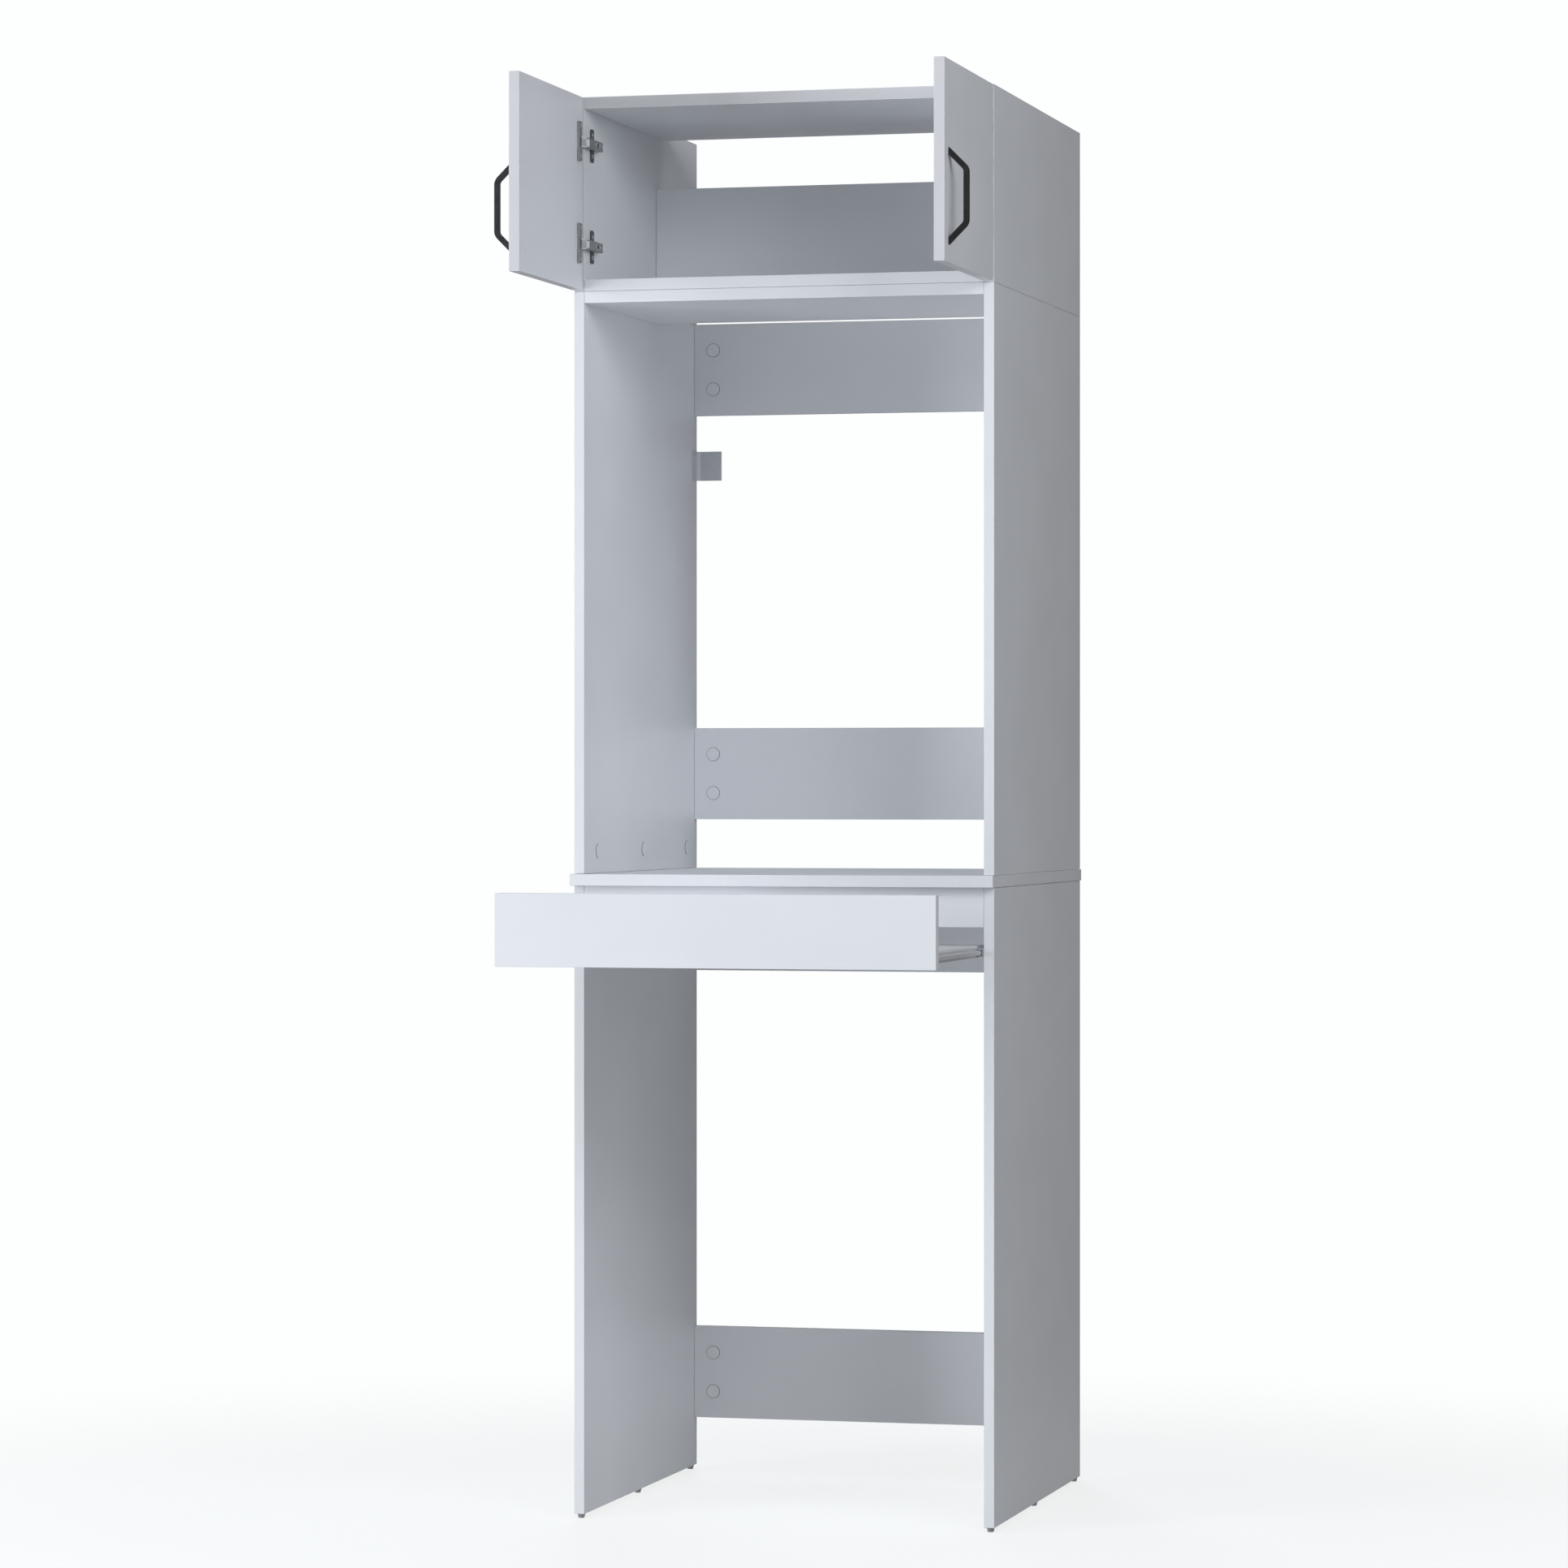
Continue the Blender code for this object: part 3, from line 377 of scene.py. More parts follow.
@dataclass(frozen=True)
class Chips(Finish):
    """Sawn chipboard: pressed chips of several tones, with pores between them."""

    def colour(self, graph: Graph, cloud: Socket) -> Socket:
        """Give each chip its own tone."""
        shade = graph.node("ShaderNodeSeparateColor", {"Color": graph.cells(self.grain).outputs["Color"]})
        return graph.tones(shade.outputs["Red"], 0.0, 1.0, self.tones)

    def normal(self, graph: Graph) -> Socket:
        """Sink the joints between the chips."""
        return graph.relief(graph.cells(self.grain).outputs["Distance"], self.depth)


@dataclass(frozen=True)
class Moulded(Finish):
    """Moulded plastic or sprayed lacquer: an even, fine texture.

    Args:
        coarser: How much larger the coarse texture under the fine one is.
    """

    coarser: float = 3.0

    def normal(self, graph: Graph) -> Socket:
        """Give the texture in two sizes."""
        coarse = graph.relief(graph.noise(self.grain * self.coarser, detail=1.0), self.depth)
        return graph.relief(graph.noise(self.grain), self.depth / 2, coarse)


@dataclass(frozen=True)
class Plated(Finish):
    """Plated steel: cloudy plating over fine rolling lines.

    Args:
        draw: How much longer than wide the rolling lines are.
        metallic: 1 for bare metal.
    """

    draw: float = 14.0
    metallic: float = 1.0

    def normal(self, graph: Graph) -> Socket:
        """Lay the plating's fine grain on the rolling lines.

        Args:
            graph: The material's nodes.

        Returns:
            The normal.
        """
        lines = graph.noise(self.grain, place=graph.stretched(Vector((1, 1 / self.draw, 1))))
        rolled = graph.relief(lines, self.depth)
        return graph.relief(graph.noise(self.grain * 2), self.depth / 2, rolled)


def band(dark: Colour, light: Colour) -> Film:
    """Give an edge band's finish from its two tones."""
    return Film((dark, light), (0.34, 0.42), cloud=0.05, grain=0.0007, depth=0.00002, ripple_depth=0.000008)


FINISHES: dict[Surface, Finish] = {
    Surface.FILM: Film(
        tones=((0.840, 0.855, 0.878), (0.858, 0.872, 0.895)),
        roughness=(0.36, 0.46), cloud=0.12, grain=0.0011, depth=0.000035,
    ),
    Surface.BAND: band((0.850, 0.865, 0.888), (0.868, 0.882, 0.905)),
    Surface.DOOR_BAND: band((0.700, 0.702, 0.716), (0.716, 0.718, 0.732)),
    # Painted shade: this greyer band darkens the cupboard's front edges as if they lay in shade.
    Surface.GREY_BAND: band((0.640, 0.645, 0.660), (0.670, 0.675, 0.690)),
    Surface.CHIPBOARD: Chips(
        tones=((0.30, 0.19, 0.10), (0.52, 0.37, 0.22), (0.42, 0.28, 0.16), (0.66, 0.52, 0.35)),
        roughness=(0.75, 0.95), cloud=0.02, grain=0.0018, depth=0.0003,
    ),
    Surface.CAP: Moulded(
        tones=((0.845, 0.860, 0.880), (0.865, 0.878, 0.898)),
        roughness=(0.34, 0.48), cloud=0.008, grain=0.0004, depth=0.00001,
    ),
    # Painted shade: a dark tone on the caps' rims, standing in for the shade at their edges.
    Surface.CAP_RIM: Moulded(
        tones=((0.150, 0.152, 0.156), (0.190, 0.192, 0.196)),
        roughness=(0.45, 0.60), cloud=0.004, grain=0.0003, depth=0.00002,
    ),
    Surface.GLIDE: Moulded(
        tones=((0.34, 0.35, 0.37), (0.42, 0.43, 0.45)),
        roughness=(0.45, 0.62), cloud=0.004, grain=0.0003, depth=0.00002,
    ),
    Surface.SHEET: Plated(
        tones=((0.66, 0.67, 0.69), (0.71, 0.72, 0.74)),
        roughness=(0.42, 0.54), cloud=0.009, grain=0.0004, depth=0.000006, metallic=0.25,
    ),
    Surface.ZINC: Plated(
        tones=((0.33, 0.335, 0.34), (0.40, 0.405, 0.41)),
        roughness=(0.36, 0.52), cloud=0.006, grain=0.0004, depth=0.000008, metallic=0.5,
    ),
    Surface.DARK_ZINC: Plated(
        tones=((0.11, 0.112, 0.115), (0.16, 0.162, 0.165)),
        roughness=(0.36, 0.52), cloud=0.006, grain=0.0004, depth=0.000008, metallic=0.5,
    ),
    Surface.SATIN: Plated(
        tones=((0.80, 0.805, 0.81), (0.86, 0.865, 0.87)),
        roughness=(0.40, 0.52), cloud=0.005, grain=0.0003, depth=0.000005, metallic=0.1,
    ),
    Surface.NICKEL: Plated(
        tones=((0.58, 0.585, 0.59), (0.70, 0.705, 0.71)),
        roughness=(0.22, 0.36), cloud=0.005, grain=0.0003, depth=0.000005, metallic=0.6,
    ),
    Surface.LACQUER: Moulded(
        tones=((0.010, 0.010, 0.011), (0.020, 0.020, 0.022)),
        roughness=(0.36, 0.50), cloud=0.010, grain=0.0006, depth=0.00003,
    ),
}


def oriented(across: Vector, along: Vector, origin: Iterable[float]) -> Matrix:
    """Give the matrix that lays out a shape by its x and y axes.

    Args:
        across: The direction that its x takes.
        along: The direction that its y takes.
        origin: The point that its origin comes to.

    Returns:
        The matrix.
    """
    out = across.cross(along)
    rows = zip(across, along, out, Vector(origin))
    return Matrix([*map(tuple, rows), (0, 0, 0, 1)])


def facing(out: Vector, along: Vector, origin: Iterable[float]) -> Matrix:
    """Give the matrix that brings a shape's z to one direction and its y to another."""
    return oriented(along.cross(out), along, origin)


def arc(centre: Point, radius: float, first: float, last: float, steps: int = BEND_STEPS) -> list[Point]:
    """Give the points of an arc between two angles, both ends included."""
    turns = [first + (last - first) * step / steps for step in range(steps + 1)]
    return [(centre[0] + radius * cos(turn), centre[1] + radius * sin(turn)) for turn in turns]


def rounded(points: Sequence[Point], radius: float, closed: bool = True) -> list[Vector]:
    """Round the corners of a flat outline, or of a chain whose two ends stay.

    Args:
        points: The corners in order.
        radius: The radius of the rounding, less where a stretch is too short for it.
        closed: Whether the last point joins the first.

    Returns:
        The points of the rounded outline.
    """
    corners = [Vector(point) for point in points]
    found = []
    for index, corner in enumerate(corners):
        if not closed and index in (0, len(corners) - 1):
            found.append(corner)
            continue
        before = corners[index - 1] - corner
        after = corners[(index + 1) % len(corners)] - corner
        half = before.angle(after) / 2
        reach = min(radius / tan(half), before.length / 2, after.length / 2)
        start, end = corner + before.normalized() * reach, corner + after.normalized() * reach
        middle = corner + (before.normalized() + after.normalized()).normalized() * reach / cos(half)
        for step in range(BEND_STEPS + 1):
            way = (start - middle).slerp(end - middle, step / BEND_STEPS)
            found.append(middle + way * reach * tan(half))
    return found


def oblong(width: float, length: float, radius: float) -> list[Vector]:
    """Give the outline of a rounded rectangle about the origin, from its sizes along x and y."""
    x, y = width / 2, length / 2
    return rounded([(-x, -y), (x, -y), (x, y), (-x, y)], radius)


def folded(chain: Sequence[Point], thickness: float, radius: float) -> list[Vector]:
    """Give the closed outline of a folded sheet.

    Args:
        chain: The corners of the sheet's middle line.
        thickness: The sheet's thickness.
        radius: The radius of the middle line in the folds.

    Returns:
        The outline: one face of the sheet, then the other one back.
    """
    middle = rounded(chain, radius, closed=False)
    runs = [(end - start).normalized() for start, end in zip(middle, middle[1:])]
    near, far = [], []
    for point, before, after in zip(middle, runs[:1] + runs, runs + runs[-1:]):
        normals = [Vector((-run.y, run.x)) for run in (before, after)]
        mitre = (normals[0] + normals[1]).normalized()
        offset = mitre * thickness / 2 / mitre.dot(normals[0])
        near.append(point + offset)
        far.append(point - offset)
    return near + far[::-1]


class Shape:
    """A closed mesh in the making; each call changes it and returns it."""

    def __init__(self, body: bmesh.types.BMesh, surface: Surface) -> None:
        """Take a mesh and finish all of it alike.

        Args:
            body: The mesh.
            surface: What its faces are finished with.
        """
        bmesh.ops.remove_doubles(body, verts=body.verts, dist=MERGE)
        bmesh.ops.recalc_face_normals(body, faces=body.faces)
        self.body = body
        for face in body.faces:
            face.material_index = PALETTE.index(surface)

    def finish(self, surface: Surface, chosen: Callable[[Vector], bool]) -> "Shape":
        """Finish some of the faces in another way.

        Args:
            surface: What they are finished with.
            chosen: Tells from a face's normal whether it is one of them.

        Returns:
            This shape.
        """
        for face in self.body.faces:
            if chosen(face.normal):
                face.material_index = PALETTE.index(surface)
        return self

    def move(self, matrix: Matrix) -> "Shape":
        """Turn, shift or mirror the shape; its faces go on looking outwards.

        Args:
            matrix: Where it goes.

        Returns:
            This shape.
        """
        bmesh.ops.transform(self.body, matrix=matrix, verts=self.body.verts)
        if matrix.determinant() < 0:
            bmesh.ops.reverse_faces(self.body, faces=self.body.faces)
        return self

    def soften(self, width: float, steps: int = 2, angle: float = SHARP_ANGLE) -> "Shape":
        """Round the sharp edges.

        Args:
            width: How far the rounding reaches from an edge.
            steps: How many faces lie across it.
            angle: The least angle between two faces whose edge is rounded.

        Returns:
            This shape.
        """
        edges = [edge for edge in self.body.edges if edge.is_manifold and edge.calc_face_angle() > angle]
        bmesh.ops.bevel(
            self.body, geom=edges, offset=width, segments=steps, profile=0.5, affect="EDGES",
            clamp_overlap=True, material=-1,
        )
        return self

    def add(self, *others: "Shape") -> "Shape":
        """Put other shapes beside this one, as parts of one piece.

        Args:
            others: The shapes.

        Returns:
            This shape.
        """
        for other in others:
            mesh = bpy.data.meshes.new("part")
            other.body.to_mesh(mesh)
            self.body.from_mesh(mesh)
            bpy.data.meshes.remove(mesh)
        return self

    def cut(self, *tools: "Shape") -> "Shape":
        """Cut other shapes away, one after another.

        Args:
            tools: The shapes.

        Returns:
            This shape.
        """
        for tool in tools:
            drafts = [self.draft(), tool.draft()]
            modifier = drafts[0].modifiers.new("Cut", "BOOLEAN")
            modifier.operation = "DIFFERENCE"
            modifier.solver = "EXACT"
            modifier.object = drafts[1]
            graph = bpy.context.evaluated_depsgraph_get()
            mesh = bpy.data.meshes.new_from_object(drafts[0].evaluated_get(graph))
            self.body.clear()
            self.body.from_mesh(mesh)
            for stale in (mesh, *(draft.data for draft in drafts)):
                bpy.data.meshes.remove(stale)
        return self

    def draft(self) -> bpy.types.Object:
        """Show the shape to Blender for a while.

        Returns:
            A passing object with this mesh and a slot for each surface.
        """
        mesh = bpy.data.meshes.new("draft")
        self.body.to_mesh(mesh)
        for _ in PALETTE:
            mesh.materials.append(None)
        thing = bpy.data.objects.new("draft", mesh)
        bpy.context.scene.collection.objects.link(thing)
        return thing


def block(low: Iterable[float], high: Iterable[float], surface: Surface) -> Shape:
    """Make a box.

    Args:
        low: One of its corners.
        high: The opposite corner.
        surface: What it is finished with.

    Returns:
        The box.
    """
    body = bmesh.new()
    one, other = Vector(low), Vector(high)
    size = Vector(abs(reach) for reach in other - one)
    bmesh.ops.create_cube(body, size=1, matrix=Matrix.LocRotScale((one + other) / 2, None, size))
    return Shape(body, surface)


def rod(radius: float, low: float, high: float, surface: Surface, steps: int = TURN_STEPS) -> Shape:
    """Make an upright round bar.

    Args:
        radius: Its radius.
        low: The height of its foot.
        high: The height of its head.
        surface: What it is finished with.
        steps: How many faces lie round it.

    Returns:
        The bar.
    """
    body = bmesh.new()
    place = Matrix.Translation((0, 0, (low + high) / 2))
    bmesh.ops.create_cone(
        body, cap_ends=True, segments=steps, radius1=radius, radius2=radius, depth=high - low, matrix=place
    )
    return Shape(body, surface)


def lathe(profile: Sequence[Point], surface: Surface) -> Shape:
    """Turn a profile about the z axis.

    Args:
        profile: Radius and height of each point, from the axis back to the axis.
        surface: What the faces are finished with.

    Returns:
        The turned shape.
    """
    body = bmesh.new()
    chain = [body.verts.new((radius, 0, height)) for radius, height in profile]
    edges = [body.edges.new(pair) for pair in zip(chain, chain[1:])]
    bmesh.ops.spin(body, geom=chain + edges, cent=(0, 0, 0), axis=UP, angle=2 * pi, steps=TURN_STEPS)
    return Shape(body, surface)


def prism(outline: Sequence[Point], low: float, high: float, surface: Surface) -> Shape:
    """Make a straight piece with a flat outline.

    Args:
        outline: The outline's points in XY.
        low: The height of its lower end.
        high: The height of its upper end.
        surface: What it is finished with.

    Returns:
        The piece.
    """
    body = bmesh.new()
    rings = [[body.verts.new((*point, height)) for point in outline] for height in (low, high)]
    for ring in rings:
        body.faces.new(ring)
    for index in range(len(outline)):
        body.faces.new((rings[0][index - 1], rings[0][index], rings[1][index], rings[1][index - 1]))
    return Shape(body, surface)


@dataclass(frozen=True)
class ScrewHead:
    """A screw's head with a cross recess; its seat lies at height 0 and its top faces up.

    Args:
        radius: The head's radius.
        height: How far it stands over its seat.
        domed: Whether the head is domed, or else flat with a soft rim.
        surface: What it is finished with.
        sink: How far it reaches under its seat.
        rim: The most that its rim takes of its height and of its radius.
        recess: The cross's reach, half width and depth, as shares of the radius.
        floor_share: How deep the recess goes in a low head, as a share of the sink.
    """

    radius: float
    height: float
    domed: bool = True
    surface: Surface = Surface.NICKEL
    sink: float = 0.0004
    rim: Pair = (0.5, 0.25)
    recess: tuple[float, float, float] = (0.62, 0.13, 0.55)
    floor_share: float = 0.8

    def shape(self) -> Shape:
        """Turn the head and cut its recess.

        Returns:
            The head.
        """
        rim = min(self.height * self.rim[0], self.radius * self.rim[1])
        if self.domed:
            turns = [step * pi / 2 / BEND_STEPS for step in range(BEND_STEPS + 1)]
            rise = self.height - rim
            crown = [(self.radius * sin(turn), rim + rise * cos(turn)) for turn in turns]
        else:
            crown = [(0, self.height), (self.radius - rim, self.height), (self.radius, self.height - rim)]
        head = lathe([*crown, (self.radius, -self.sink), (0, -self.sink)], self.surface)
        reach, half, deep = (self.radius * share for share in self.recess)
        floor = self.height - deep
        if floor <= -self.sink:
            floor = -self.sink * self.floor_share
        top = self.height + OVERRUN
        bars = [
            block((-x, -y, floor), (x, y, top), self.surface)
            for x, y in ((reach, half), (half, reach))
        ]
        return head.cut(*bars)


@dataclass
class Piece:
    """A finished shape on its way into the scene.

    Args:
        name: Its name there.
        shape: The mesh, in the frame's rest pose.
        body: The body that it rides on.
        stands_for: The CAD nodes that it replaces.
    """

    name: str
    shape: Shape
    body: str
    stands_for: tuple[str, ...] = ()


class Bench:
    """Puts pieces in the scene with their finishes and on their bodies."""

    def __init__(self) -> None:
        """Make one material for each surface."""
        self.materials = {surface: FINISHES[surface].material(surface.value[0]) for surface in Surface}

    def place(self, piece: Piece) -> None:
        """Make a piece an object, with only the materials that its faces use.

        Args:
            piece: The piece.
        """
        body = piece.shape.body
        used = sorted({face.material_index for face in body.faces})
        areas = defaultdict(float)
        for face in body.faces:
            areas[face.material_index] += face.calc_area()
            face.material_index = used.index(face.material_index)
        mesh = bpy.data.meshes.new(piece.name)
        body.to_mesh(mesh)
        body.free()
        for index in used:
            mesh.materials.append(self.materials[PALETTE[index]])
        mesh.shade_smooth()
        mesh.set_sharp_from_angle(angle=SHARP_ANGLE)
        thing = bpy.data.objects.new(piece.name, mesh)
        bpy.context.scene.collection.objects.link(thing)
        weigh = thing.modifiers.new("Flat faces", "WEIGHTED_NORMAL")
        weigh.keep_sharp = True
        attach(thing, piece.body)
        PALETTE[max(areas, key=areas.get)].value[1]
        if piece.stands_for:
            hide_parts(*piece.stands_for)
        log.info("%-34s %6d faces on %s", piece.name, len(mesh.polygons), piece.body)


class RestPose:
    """Where the bodies lie at rest, worked out from the frame's joints."""

    def __init__(self, joints: Sequence[dict]) -> None:
        """Read the joints.

        Args:
            joints: The frame's joints, as the record has them.
        """
        low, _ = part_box("lower_side_left")
        self.shift = Matrix.Translation((0, low.y, 0))
        self.joints = {joint["child"]: joint for joint in joints}

    def of(self, body: str) -> Matrix:
        """Give the matrix from cabinet coordinates to a body's place at rest.

        Args:
            body: The body's name.

        Returns:
            The matrix: the tray stands pulled out and the doors stand open.
        """
        joint = self.joints.get(body)
        if joint is None:
            return self.shift
        if joint["type"] == "slide":
            ratio = 1 if body == "tray" else CAGE_RATIO
            travel = self.joints["tray"]["range_m"][1] * ratio
            return self.shift @ Matrix.Translation((0, -travel, 0))
        pivot = Vector(joint["pos_m"])
        there, back = Matrix.Translation(pivot), Matrix.Translation(-pivot)
        return there @ Matrix.Rotation(self.turn(body), 4, "Z") @ back @ self.shift

    def turn(self, body: str) -> float:
        """Give how far a hinged body is turned at rest.

        Args:
            body: The body's name, which ends in its hand.

        Returns:
            The angle in radians.
        """
        hand = Hand[body.rsplit("_", 1)[1].upper()]
        opening = OPENING * hand.value
        return opening if body.startswith("door") else opening * LINK_RATIO


def panel_box(node: str) -> Box:
    """Find a CAD board's own corners, without the bolts and caps that are joined to it.

    Args:
        node: The CAD node's name.

    Returns:
        The lowest and the highest corner, each in the planes with the most area.
    """
    corners = (Vector(), Vector())
    for side in Side:
        axis, sign = side.value
        areas = defaultdict(float)
        for face in bpy.data.objects[node].data.polygons:
            if face.normal[axis] * sign > STRAIGHT:
                areas[round(face.center[axis], 5)] += face.area
        corners[sign > 0][axis] = max(areas, key=areas.get)
    return corners


def middle_of(node: str) -> Vector:
    """Give the middle of a CAD node's box."""
    low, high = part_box(node)
    return (low + high) / 2


class SubAssembly(ABC):
    """A group of pieces that is built and dressed together."""

    @abstractmethod
    def build(self) -> list[Piece]:
        """Build the meshes, and give them as pieces."""

    def dress(self, bench: Bench) -> None:
        """Build the pieces and put them in the scene."""
        for piece in self.build():
            bench.place(piece)


@dataclass
class CoverCap:
    """The round cap over a cam lock: a shallow dome in a seat that shows as a thin ring, with painted shade
    on its rim.

    Args:
        radius: Its radius.
        height: How far it stands over the board.
        rim: The radius of its rounded edge.
        dome: How much higher its middle is than its edge.
        gap: How much wider its seat is on each side.
        depth: How deep the seat is.
        slope: The faces whose normals rise less than this are its rim, which takes painted shade.
    """

    radius: float = 0.0108
    height: float = 0.0012
    rim: float = 0.0005
    dome: float = 0.0003
    gap: float = 0.0005
    depth: float = 0.0010
    slope: float = 0.75

    def shape(self) -> Shape:
        """Turn one cap, and paint shade on its rim.

        Returns:
            The cap; the board's face lies at height 0.
        """
        edge = arc((self.radius - self.rim, self.height - self.dome - self.rim), self.rim, pi / 2, 0)
        profile = [(0, self.height), (self.radius / 2, self.height - self.dome / 4), *edge,
                   (self.radius, -self.depth), (0, -self.depth)]
        cap = lathe(profile, Surface.CAP)
        # The rim's steep faces take the dark tone, which is painted shade.
        return cap.finish(Surface.CAP_RIM, lambda normal: abs(normal.z) < self.slope)

    def seat(self) -> Shape:
        """Give what is sunk into the board for it; its grey walls are painted shade in the groove."""
        # The seat's walls take the grey plastic's tone: painted shade in the groove, on top of the real
        # shade that the groove casts.
        return rod(self.radius + self.gap, -self.depth, OVERRUN, Surface.GLIDE)


@dataclass
class Board(SubAssembly):
    """A melamine-faced board in the place of its CAD node, with its caps.

    Args:
        node: The CAD node.
        raw: The edges that have no band, because they lie on other boards or on the floor.
        rides: The body that it rides on.
        arris: How far its broken edges reach.
        front: What its front edge is finished with.
        cap: The caps that it has.
    """

    node: str
    raw: tuple[Side, ...] = ()
    rides: str = "carcass"
    arris: float = 0.0007
    front: Surface = Surface.BAND
    cap: CoverCap = field(default_factory=CoverCap)

    def corners(self) -> Box:
        """Give the board's corners at rest."""
        return panel_box(self.node)

    def panel(self) -> Shape:
        """Make the board with film on its faces, and a band or bare chipboard on its edges.

        Returns:
            The board.
        """
        low, high = self.corners()
        size = high - low
        thin = min(range(3), key=lambda axis: size[axis])
        shape = block(low, high, Surface.FILM).soften(self.arris, ROUND_STEPS)
        for side in Side:
            axis, sign = side.value
            if axis == thin:
                continue
            edge = self.front if side is Side.FRONT else Surface.BAND
            surface = Surface.CHIPBOARD if side in self.raw else edge
            shape.finish(surface, lambda normal: normal[axis] * sign > STRAIGHT)
        return shape

    def cap_places(self) -> list[Matrix]:
        """Give where the caps sit, if the board has any."""
        return []

    def bores(self) -> list[Shape]:
        """Give what is bored out of the board where it shows: a seat for each cap."""
        return [self.cap.seat().move(place) for place in self.cap_places()]

    def build(self) -> list[Piece]:
        """Make the board.

        Returns:
            The board, and one piece for its caps if it has any.
        """
        board = self.panel().cut(*self.bores())
        found = [Piece(f"{self.node}_board", board, self.rides, (self.node,))]
        caps = [self.cap.shape().move(place) for place in self.cap_places()]
        if caps:
            found.append(Piece(f"{self.node}_caps", caps[0].add(*caps[1:]), self.rides))
        return found


@dataclass
class SidePanel(Board):
    """A side of the lower or the middle part, with a row of caps along its inner face.

    Args:
        hand: Which side it is.
        inset: How far the first cap lies from the front edge.
        setback: How far the caps lie from the end that meets the worktop.
        pitch: The distance between caps.
        count: How many caps it has.
        at_top: Whether that end is the upper one.
    """

    hand: Hand = Hand.LEFT
    inset: float = 0.043
    setback: float = 0.034
    pitch: float = 0.256
    count: int = 3
    at_top: bool = True

    def cap_places(self) -> list[Matrix]:
        """Set the caps in a row.

        Returns:
            Where they sit.
        """
        low, high = self.corners()
        across = self.hand.inner((low, high))
        level = high.z - self.setback if self.at_top else low.z + self.setback
        depths = [low.y + self.inset + self.pitch * step for step in range(self.count)]
        return [facing(self.hand.inward, UP, (across, depth, level)) for depth in depths]


@dataclass
class CrossBoard(Board):
    """A board between the sides, with caps near both ends of one face.

    Args:
        face: The face that the caps are on.
        setback: How far they lie from the ends.
        spread: How far each lies from the middle of the board, for rails, or from its long edges.
        from_edges: Whether spread is taken from the long edges.
    """

    raw: tuple[Side, ...] = (Side.LEFT, Side.RIGHT)
    face: Side = Side.FRONT
    setback: float = 0.032
    spread: float = 0.032
    from_edges: bool = False

    def cap_places(self) -> list[Matrix]:
        """Set the caps at both ends.

        Returns:
            Where they sit.
        """
        low, high = self.corners()
        out, sign = self.face.value
        # The face looks along y or z, and the other one of these two axes runs across it.
        across = 3 - out
        # The lines are a set, so that a spread of 0 leaves one row of caps.
        if self.from_edges:
            lines = {low[across] + self.spread, high[across] - self.spread}
        else:
            middle = (low[across] + high[across]) / 2
            lines = {middle - self.spread, middle + self.spread}
        normal = Vector()
        normal[out] = sign
        found = []
        for ahead in (low.x + self.setback, high.x - self.setback):
            for line in sorted(lines):
                centre = Vector((ahead, 0, 0))
                centre[out] = (low, high)[sign > 0][out]
                centre[across] = line
                found.append(facing(normal, RIGHT, centre))
        return found


@dataclass
class Carcass(SubAssembly):
    """All the boards that never move.

    Args:
        middle_inset: How far the middle sides' first caps lie from the front edge.
        board_setback: How far the caps of the fascia and the cupboard's boards lie from the ends.
        board_inset: How far the caps of the cupboard's boards lie from the long edges.
    """

    middle_inset: float = 0.075
    board_setback: float = 0.034
    board_inset: float = 0.060

    def boards(self) -> list[Board]:
        """Name every board and its edges without a band.

        Returns:
            The boards.
        """
        ends = (Side.TOP, Side.BOTTOM)
        found = [Board("worktop"), Board("middle_top_board", (Side.LEFT, Side.RIGHT))]
        for hand in Hand:
            lower, middle = f"lower_side_{hand.word}", f"middle_side_{hand.word}"
            found.append(SidePanel(lower, ends, hand=hand))
            found.append(SidePanel(middle, ends, hand=hand, inset=self.middle_inset, at_top=False))
            # The cupboard sides' front edges take the greyer band, which is painted shade.
            found.append(Board(f"cupboard_side_{hand.word}", (Side.BOTTOM,), front=Surface.GREY_BAND))
        for node in ("lower_rear_rail", "worktop_rear_rail", "middle_lower_rail", "middle_upper_rail"):
            found.append(CrossBoard(node))
        found.append(CrossBoard("cupboard_back_rail", face=Side.REAR))
        found.append(CrossBoard("front_fascia", face=Side.REAR, setback=self.board_setback, spread=0.0))
        # The cupboard top board's front edge takes the greyer band, which is painted shade.
        fronts = {"cupboard_bottom_board": Surface.BAND, "cupboard_top_board": Surface.GREY_BAND}
        for node, front in fronts.items():
            found.append(CrossBoard(
                node, front=front, face=Side.TOP, setback=self.board_setback, spread=self.board_inset,
                from_edges=True,
            ))
        return found

    def build(self) -> list[Piece]:
        """Build every board with its caps."""
        return [piece for board in self.boards() for piece in board.build()]


